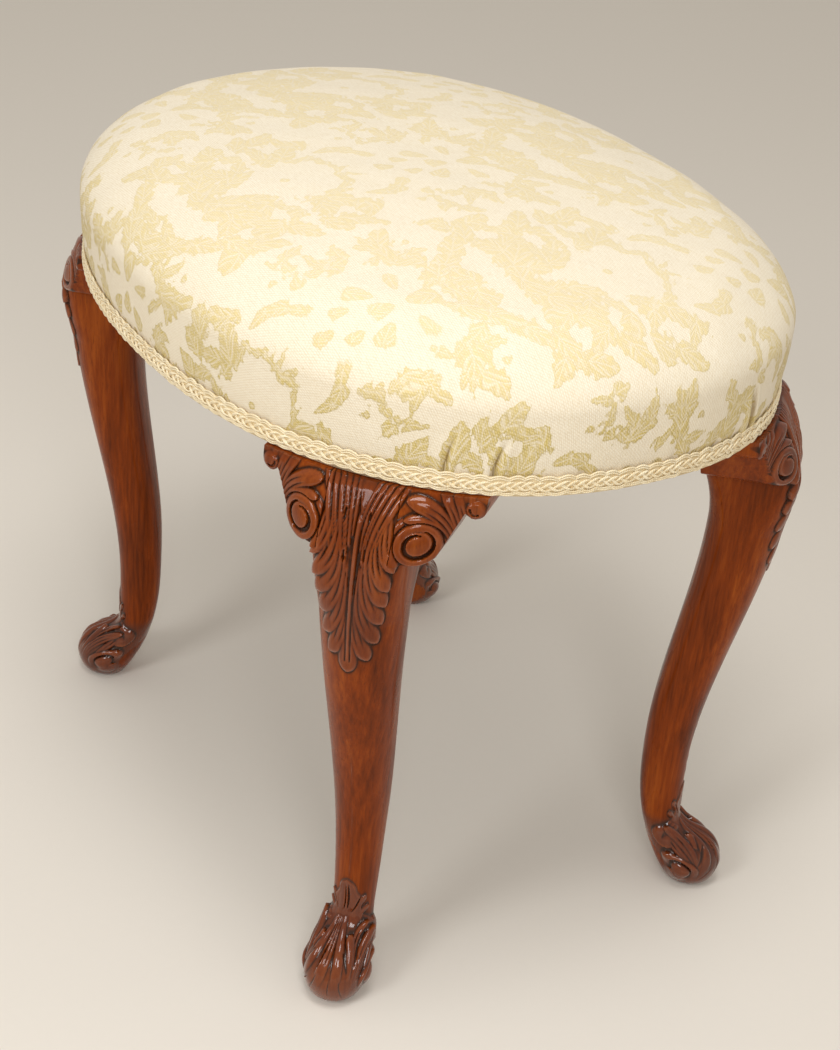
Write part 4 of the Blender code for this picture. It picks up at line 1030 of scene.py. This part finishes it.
seat = {
    "columns": 1080, "rows": (118, 44, 38), "waver": 0.28,
    "rollInset": 45.0, "rollLow": 49.0, "rollTop": 80.0, "crown": 22.5, "widest": -1.0,
    # inset of the side at heights over the underside
    "sideInset": ((0, 2.8), (11.5, 2.8), (16, 1.5), (22, 0.5), (29.4, -0.2), (40, -0.8), (49, -1.0)),
    # shallow inside that clears the rails
    "skin": 1.4, "padBottom": 428.9, "insideStep": 7,
    # swelling by a coarse cloth
    "simColumns": 270, "simRows": (26, 14, 16), "simFrames": 20, "pressure": 0.9, "stiffness": 40, "cap": 3.0,
    # tucks at the lower edge: plan angle, lean in degrees over the reach, reach up the side, depth, half
    "tucks": (
        (17.6, -1.3, 40, 4.6, 1.5), (-19.6, 1.6, 28, 4.0, 1.3), (-25.6, 1.4, 30, 3.8, 1.3),
        (4.0, 0.5, 20, 0.7, 2.4), (11.0, 0.6, 22, 0.8, 2.4), (-9.0, 0.4, 16, 0.6, 2.4),
        (27.0, 0.4, 24, 0.9, 2.2), (152.0, 0.8, 22, 1.5, 1.8), (163.0, -0.6, 18, 1.2, 1.8),
        (196.0, 0.7, 20, 1.4, 1.8), (208.0, -0.5, 16, 1.0, 2.0),
    ),
    "tuckStart": 11, "tuckRadius": 235,
    # the first three are deep and get a painted shade line: its half width and how far it lies aside
    "tuckLines": ((1.7, 1.6), (0.9, 0.0), (0.9, 0.0)), "lineReach": 8,
}


def coverRows(topRows, rollRows, sideRows):
    # skin from the middle of the top to the lower edge: inset from the oval, share of it, height over the
    # underside, and a row number that runs 0 to 1 on the crown, to 2 on the rounded edge, to 3 down the side
    k = seat
    half = legShape["halfWidth"]
    part = np.linspace(0, 1, topRows + 1)[1:-1]
    rest = 1 - k["rollInset"] / half
    angle = np.linspace(math.pi / 2, 0, rollRows)
    down = np.linspace(k["rollLow"], 0, sideRows)[1:]
    rollInset = mix(k["widest"], k["rollInset"], 1 - np.cos(angle))
    sideInset = np.interp(down, *zip(*k["sideInset"]))
    inset = np.concatenate([np.full(len(part), k["rollInset"]), rollInset, sideInset])
    scale = np.concatenate([part, np.ones(rollRows + len(down))])
    out = 1 - rollInset / half
    roll = mix(k["rollLow"], k["rollTop"], np.sin(angle)) + k["crown"] * (1 - out**2) * np.sin(angle) ** 2
    height = np.concatenate([k["rollTop"] + k["crown"] * (1 - (rest * part) ** 2), roll, down])
    number = np.concatenate([part, 1 + np.linspace(0, 1, rollRows), 2 + (k["rollLow"] - down) / k["rollLow"]])
    return inset, scale, height, number


def coverGrid(angle, rows):
    # skin, lip and inside as one grid of closed rings
    k = seat
    edge = k["sideInset"][0][1]
    wall = edge + k["skin"]
    roof = k["padBottom"] - legShape["underside"]
    inside = [(edge + k["skin"] / 2, 1.0, 0.0), (wall, 1.0, 0.2)]
    inside += [(wall + k["insideStep"] * f**4, 1.0, roof * f) for f in (0.33, 0.66, 0.85, 1.0)]
    inside += [(wall + k["insideStep"], f, roof) for f in (0.9, 0.7, 0.4, 0.15)]
    inset, scale, height = (np.concatenate([a, b]) for a, b in zip(rows, np.array(inside).T))
    reach = np.array([ovalReach(angle, i) * f for i, f in zip(inset, scale)])
    z = np.repeat(legShape["underside"] + height[:, None], len(angle), axis=1)
    return np.stack([reach * np.cos(angle), reach * np.sin(angle), z], -1)


def swollenBy(angle, rows):
    # cloth blown up softly from inside, held at its lower edge; gives how far each point of the skin moved
    grid = coverGrid(angle, rows)
    count, cols = len(rows[0]), len(angle)
    total = grid.shape[0] * cols
    made = meshPiece("swelling", *closedRings(grid, turned=True))
    held = made.vertex_groups.new(name="held")
    held.add([*range((count - 3) * cols, total), total + 1], 1.0, "REPLACE")
    cloth = made.modifiers.new("swelling", "CLOTH").settings
    cloth.vertex_group_mass = "held"
    cloth.use_pressure = True
    cloth.uniform_pressure_force = seat["pressure"]
    cloth.effector_weights.gravity = 0
    cloth.tension_stiffness = seat["stiffness"]
    cloth.compression_stiffness = seat["stiffness"]
    cloth.quality = 5
    for step in range(1, seat["simFrames"] + 1):
        scene.frame_set(step)
    solved = made.evaluated_get(bpy.context.evaluated_depsgraph_get()).to_mesh()
    now = np.zeros(len(solved.vertices) * 3, np.float32)
    solved.vertices.foreach_get("co", now)
    moved = now.reshape(-1, 3)[:total].reshape(grid.shape) / mm - grid
    scene.frame_set(1)
    bpy.data.objects.remove(made)
    # only swelling along the surface counts, so the cloth never sinks into its stuffing
    out = -gridNormals(grid[:count])
    swell = np.clip((moved[:count] * out).sum(-1), 0, seat["cap"])
    return out * blurred(swell, 8, True)[..., None]


def spreadOver(moved, coarse, fine, columns):
    # coarse movement read off at the fine rows and columns, straight-line between points
    rows = np.interp(fine, coarse, np.arange(len(coarse)))
    low = np.minimum(rows.astype(int), len(coarse) - 2)
    part = (rows - low)[:, None, None]
    tall = moved[low] * (1 - part) + moved[low + 1] * part
    at = np.arange(columns) * moved.shape[1] / columns
    left = at.astype(int)
    part = (at - left)[None, :, None]
    return tall[:, left] * (1 - part) + tall[:, (left + 1) % moved.shape[1]] * part


def tuckDepth(angle, height):
    # narrow curved valleys with a small swelling at each side, strongest at the braid; a deep one gets a
    # painted shade line, given as the distance from it in its half widths and how far it shows
    total, aside, shade = np.zeros((3, len(height), len(angle)))
    for number, (where, lean, reach, depth, half) in enumerate(seat["tucks"]):
        up = clamp01((height - seat["tuckStart"]) / reach)[:, None]
        off = (np.degrees(angle)[None, :] - where - lean * (up**2 - 0.25) + 180) % 360 - 180
        away = np.radians(off) * seat["tuckRadius"]
        lips = 0.4 * np.exp(-((np.abs(away) - 2.6 * half) / (1.5 * half)) ** 2)
        valley = np.exp(-(away / half) ** 2) - lips
        total -= depth * valley * (1 - ease(up)) * ease((height[:, None] - 4) / 7)
        if number < len(seat["tuckLines"]):
            dark, shift = seat["tuckLines"][number]
            left = seat["lineReach"] - np.abs(away)
            aside = np.where(left > 0, (away - shift) / dark, aside)
            shade = np.where(left > 0, (1 - ease(up)) * ease(left / 3), shade)
    return total, {"creaseAside": aside, "creaseShade": shade}


def makeSeat():
    # the skin is pushed out along its normals by tucks, a slow waver and the swelling
    angle = np.linspace(0, 2 * math.pi, seat["columns"], endpoint=False)
    rows = coverRows(*seat["rows"])
    height, number = rows[2:]
    grid = coverGrid(angle, rows)
    count = len(height)
    skin = grid[:count]
    # flat position of the cloth: plan position on top, carried on by length over the edge
    step = np.linalg.norm(np.diff(skin, axis=0), axis=-1)
    run = np.hypot(skin[..., 0], skin[..., 1])
    first = int(np.argmax(number > 1))
    run[first:] = run[first - 1] + np.cumsum(step[first - 1:], axis=0)
    flatX, flatY = run * np.cos(angle), run * np.sin(angle)
    out = -gridNormals(skin)
    tucks, creases = tuckDepth(angle, height)
    skin = skin + out * tucks[..., None]
    waver = seat["waver"] * softNoise(skin, 60.0, 11) * ease(height / 25)[:, None]
    skin = skin + out * waver[..., None]
    simRows = coverRows(*seat["simRows"])
    simAngle = np.linspace(0, 2 * math.pi, seat["simColumns"], endpoint=False)
    moved = swollenBy(simAngle, simRows)
    print("cloth swelling done, most", round(float(np.abs(moved).max()), 2), "mm")
    skin = skin + spreadOver(moved, simRows[3], number, seat["columns"])
    grid[:count] = skin

    def carried(field, top, inside):
        # a field of the skin carried on to the inside rows and the two middles
        lost = np.repeat(field[-1:], len(grid) - count, 0)
        return np.append(np.vstack([field, lost]).ravel(), [top, inside])

    fields = {}
    for name, field in {**damaskFigure(flatX, flatY), **creases}.items():
        fields[name] = carried(field, field[0].mean(), field[-1, 0])
    uv = np.stack([carried(flatX, 0, 0), carried(flatY, 0, 0)], -1) * mm
    points, quads, tris = closedRings(grid, turned=True)
    made = meshPiece("damask_seat", points, quads, tris, uv, fields)
    made.data.materials.append(damask)
    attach(made, "root")
    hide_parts("seat_cover", "seat_stuffing")
    print("seat done,", len(quads) * 2, "triangles")


# gimp braid round the lower edge

braid = {
    "low": 368.6, "scallops": 160, "perScallop": 10, "sides": 6, "cord": 0.57, "inset": 1.35,
    "uneven": 0.7, "unevenLength": 14.0, "lowestDrift": -0.3,
    # height of each cord's middle, height of its arches (downwards if negative), start in scallops
    "edgeCords": ((380.4, 1.8, 0.0), (379.1, 1.8, 0.0), (370.8, -1.1, 0.5), (369.7, -1.1, 0.5)),
    "plaitMiddle": 374.7, "plaitWave": 2.5, "plaitPitch": 2,
    "plaitStrands": (0.0, 0.055, 0.333, 0.388, 0.667, 0.722),
    "tapeHigh": 379.8, "tapeBack": 2.5, "tapeColumns": 480,
}


def ovalRun(inset, count):
    # points evenly spaced along the oval, with outward directions and the whole length
    angle = np.linspace(0, 2 * math.pi, 4001)
    r = ovalReach(angle, inset)
    x, y = r * np.cos(angle), r * np.sin(angle)
    run = np.concatenate([[0], np.cumsum(np.hypot(np.diff(x), np.diff(y)))])
    at = np.arange(count) / count * run[-1]
    plan = np.stack([np.interp(at, run, x), np.interp(at, run, y)], -1)
    along = np.roll(plan, -1, 0) - np.roll(plan, 1, 0)
    along /= np.linalg.norm(along, axis=1, keepdims=True)
    return plan, np.stack([along[:, 1], -along[:, 0]], -1), run[-1]


def ringTube(path, out, radius, sides):
    # closed tube round a closed path; its sections lie across the path's direction
    along = np.roll(path, -1, 0) - np.roll(path, 1, 0)
    along /= np.linalg.norm(along, axis=1, keepdims=True)
    out = out - (out * along).sum(1, keepdims=True) * along
    out /= np.linalg.norm(out, axis=1, keepdims=True)
    up = np.cross(out, along)
    turn = np.linspace(0, 2 * math.pi, sides, endpoint=False)[:, None]
    ring = path[:, None] + radius * (out[:, None] * np.cos(turn) + up[:, None] * np.sin(turn))
    return ring.reshape(-1, 3), loopedFaces(len(path), sides)


def braidPaths(plan, phase):
    # height and depth of each cord along the braid: scalloped pairs at the edges, between them a flat plait
    # of three doubled strands, all with a hand-made unevenness a few scallops long
    k = braid
    places = [plan + [0, far] for far in (0, 400)]
    drift, hurry = (k["uneven"] * softNoise(place, k["unevenLength"], 31) for place in places)
    drift = np.maximum(drift, k["lowestDrift"])
    for height, wave, begin in k["edgeCords"]:
        swing = np.abs(np.sin(math.pi * (phase + begin + 0.12 * hurry))) ** 0.75
        yield height + wave * (swing - 0.75) + drift, 0.15 + 0.25 * swing
    for begin in k["plaitStrands"]:
        turn = 2 * math.pi * (phase / k["plaitPitch"] + begin + 0.06 * hurry)
        yield k["plaitMiddle"] + k["plaitWave"] * np.sin(turn) + drift, 0.45 + 0.5 * np.sin(2 * turn)


def makeBraid():
    k = braid
    sides, count = k["sides"], k["scallops"] * k["perScallop"]
    plan, outward, length = ovalRun(k["inset"], count)
    phase = np.arange(count) / k["perScallop"]
    level = np.zeros((count, 1))
    along = np.repeat(phase * length / k["scallops"], sides)
    around = np.tile(np.arange(sides) / sides * 3.2, count)
    parts = []  # points, quads, uv and 1 for the tape
    for height, depth in braidPaths(plan, phase):
        path = np.concatenate([plan + outward * depth[:, None], height[:, None]], 1)
        cord, faces = ringTube(path, np.concatenate([outward, level], 1), k["cord"], sides)
        parts.append((cord, faces, np.stack([along, around], -1) * mm, np.zeros(len(cord))))
    # thin backing tape
    cols = k["tapeColumns"]
    front, back = (ovalRun(inset, cols)[0] for inset in (k["inset"], k["tapeBack"]))
    z = np.repeat([k["low"], k["tapeHigh"], k["tapeHigh"], k["low"]], cols)
    tape = np.column_stack([np.concatenate([front, front, back, back]), z])
    uv = np.stack([np.tile(np.arange(cols) * length / cols, 4), np.repeat([0, 11, 12, 1], cols)], -1) * mm
    parts.append((tape, loopedFaces(4, cols)[:, [0, 3, 2, 1]], uv, np.ones(len(tape))))
    points, quads, uv, shade = zip(*parts)
    starts = np.cumsum([0, *map(len, points)])
    quads = np.concatenate([faces + start for faces, start in zip(quads, starts)])
    fields = {"tape": np.concatenate(shade)}
    made = meshPiece("gimp_braid", np.concatenate(points), quads, uv=np.concatenate(uv), fields=fields)
    made.data.materials.append(gilt)
    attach(made, "root")
    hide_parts("edge_braid")
    print("braid done,", len(quads) * 2, "triangles")


# cloths and straps under the seat

under = {
    # dust cloth: cut back square round the legs and brackets, tacked along its edge
    "edgeInset": 15.5, "thick": 0.8, "top": 368.2, "sag": 2.2, "columns": 1080, "rings": 22, "sharpAngle": 50,
    "legBack": -46.9, "legHalf": 21.9, "bracketHalf": 66.4, "bracketGap": 0.9, "searchStep": 0.2,
    "tacks": 44, "tackInset": 21.0, "tackEdge": 5.5, "tackSides": 20, "tackDrop": 0.5,
    "tackRings": ((3.4, 0.3), (3.6, -0.2), (3.3, -0.7), (2.5, -1.15), (1.3, -1.4)),  # radius, height
    # straps: points along and round, distance between ribs and their share of the thickness
    "strapRows": 240, "strapSides": 48, "ribPitch": 5, "ribShare": 0.06,
    "sheetColumns": 240, "sheetRings": 30, "sheetWave": 0.12, "sheetSkin": 0.15,
}


def dustEdge(angle):
    # how far the cloth reaches in a plan direction: the oval, cut back square round each leg and its brackets
    k = under
    r = np.arange(120.0, 262.0, k["searchStep"])
    bracketBack = float(ovalFront(k["bracketHalf"] - k["bracketGap"], bracket["railInner"])) - k["bracketGap"]
    a, rr = np.meshgrid(angle, r, indexing="ij")
    x, y = np.abs(rr * np.cos(a)) - legX, np.abs(rr * np.sin(a)) - legY
    s = x * math.cos(legTurn) + y * math.sin(legTurn)
    t = np.abs(x * math.sin(legTurn) - y * math.cos(legTurn))
    out = (rr > ovalReach(a, k["edgeInset"])) | ((t < k["bracketHalf"]) & (s > bracketBack))
    out |= (t < k["legHalf"]) & (s > k["legBack"])
    return r[np.argmax(out, axis=1)] - k["searchStep"]


def sheetRings(edge, parts, top, low, drop):
    # upper skin from the middle to the edge and lower skin back again, as rings at parts of the edge's reach
    angle = np.linspace(0, 2 * math.pi, len(edge), endpoint=False)
    part = np.concatenate([parts, parts[::-1]])[:, None]
    z = np.concatenate([top - drop, (low - drop)[::-1]])[:, None] + 0 * edge
    return np.stack([part * edge * np.cos(angle), part * edge * np.sin(angle), z], -1)


def makeDustCover():
    k = under
    edge = dustEdge(np.linspace(0, 2 * math.pi, k["columns"], endpoint=False))
    parts = np.linspace(0, 1, k["rings"] + 1)[1:]
    rings = sheetRings(edge, parts, k["top"], k["top"] - k["thick"], k["sag"] * (1 - parts**2))
    made = meshPiece("dust_cloth", *closedRings(rings, turned=True))
    made.data.set_sharp_from_angle(angle=math.radians(k["sharpAngle"]))
    made.data.materials.append(lining)
    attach(made, "root")
    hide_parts("dust_cover")


def makeTacks():
    # domed heads along the dust cloth's edge
    k = under
    plan = ovalRun(k["tackInset"], k["tacks"])[0]
    reach = dustEdge(np.arctan2(plan[:, 1], plan[:, 0]) % (2 * math.pi))
    plan = plan * np.minimum(1, (reach - k["tackEdge"]) / np.hypot(plan[:, 0], plan[:, 1]))[:, None]
    turn = np.linspace(0, 2 * math.pi, k["tackSides"], endpoint=False)
    radius, height = np.array(k["tackRings"]).T[..., None]
    head = np.stack([radius * np.cos(turn), radius * np.sin(turn), height + 0 * turn], -1)
    one, quads, tris = closedRings(head, turned=True)
    low = k["top"] - k["thick"] - k["tackDrop"]
    points = np.concatenate([one + [x, y, low] for x, y in plan])
    shift = (np.arange(len(plan)) * len(one))[:, None, None]
    made = meshPiece("dust_cloth_tacks", points, quads + shift, tris + shift)
    made.data.materials.append(steel)
    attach(made, "root")
    print("dust cloth and tacks done")


def nodePoints(name):
    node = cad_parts[name]
    return np.array([node.matrix_world @ v.co for v in node.data.vertices]) / mm


def strapRings(at, long):
    # a band with rounded selvedges and cross ribs, over and under the straps that cross it as its solid goes:
    # its middle passes the solid's stations, which are the places along it where the solid has points
    k = under
    wide = 1 - long
    low, high = at.min(0), at.max(0)
    width = high[wide] - low[wide]
    place = np.unique(at[:, long].round(2))
    station = [at[np.abs(at[:, long] - p) < 0.02, 2] for p in place]
    thick, level = np.ptp(station[0]), np.array([(z.min() + z.max()) / 2 for z in station])
    turn = np.linspace(0, 2 * math.pi, k["strapSides"], endpoint=False)
    across = np.sign(np.cos(turn)) * np.abs(np.cos(turn)) ** 0.25 * width / 2
    up = np.sign(np.sin(turn)) * np.abs(np.sin(turn)) ** 0.6 * thick / 2
    along = np.linspace(low[long], high[long], k["strapRows"])
    part = np.interp(along, place, np.arange(len(place)))
    first = np.minimum(part.astype(int), len(place) - 2)
    middle = mix(level[first], level[first + 1], ease(part - first))
    rib = 1 - k["ribShare"] * (1 + np.sin(along * 2 * math.pi / k["ribPitch"]))
    rings = np.zeros((len(along), len(turn), 3))
    rings[..., long] = along[:, None]
    rings[..., wide] = (low[wide] + high[wide]) / 2 + across
    rings[..., 2] = middle[:, None] + up * rib[:, None]
    return rings, width, high[long] - low[long]


def makeStraps():
    names = [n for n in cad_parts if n.startswith("webbing")]
    for name in names:
        long = 0 if "lengthwise" in name else 1
        rings, width, length = strapRings(nodePoints(name), long)
        made = meshPiece("woven_" + name, *closedRings(rings, turned=long == 1))
        made.data.materials.append(jute)
        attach(made, "root")
        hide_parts(name)
    print("webbing straps done")
    return ["woven_" + name for name in names]


def makeHessian(straps):
    k = under
    at = nodePoints("hessian_base")
    low, high = at.min(0), at.max(0)
    angle = np.linspace(0, 2 * math.pi, k["sheetColumns"], endpoint=False)
    edge = ovalReach(angle, legShape["halfLength"] - high[0])
    parts = np.linspace(0, 1, k["sheetRings"] + 1)[1:]
    wave = -k["sheetWave"] * np.sin(parts * 40)
    rings = sheetRings(edge, parts, high[2] - k["sheetSkin"], low[2] + k["sheetSkin"], wave)
    made = meshPiece("hessian_sheet", *closedRings(rings, turned=True))
    made.data.materials.append(hessian)
    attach(made, "root")
    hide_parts("hessian_base")
    print("hessian sheet done")


makeLegs()
makeBrackets()
makeSeat()
makeBraid()
makeDustCover()
makeTacks()
makeHessian(makeStraps())

# the rails, corner blocks and screws stay as their solids
for nodeName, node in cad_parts.items():
    for start, finish in (("rail", beech), ("corner_block", beech), ("corner_screw", steel)):
        if nodeName.startswith(start):
            node.data.materials.clear()
            node.data.materials.append(finish)
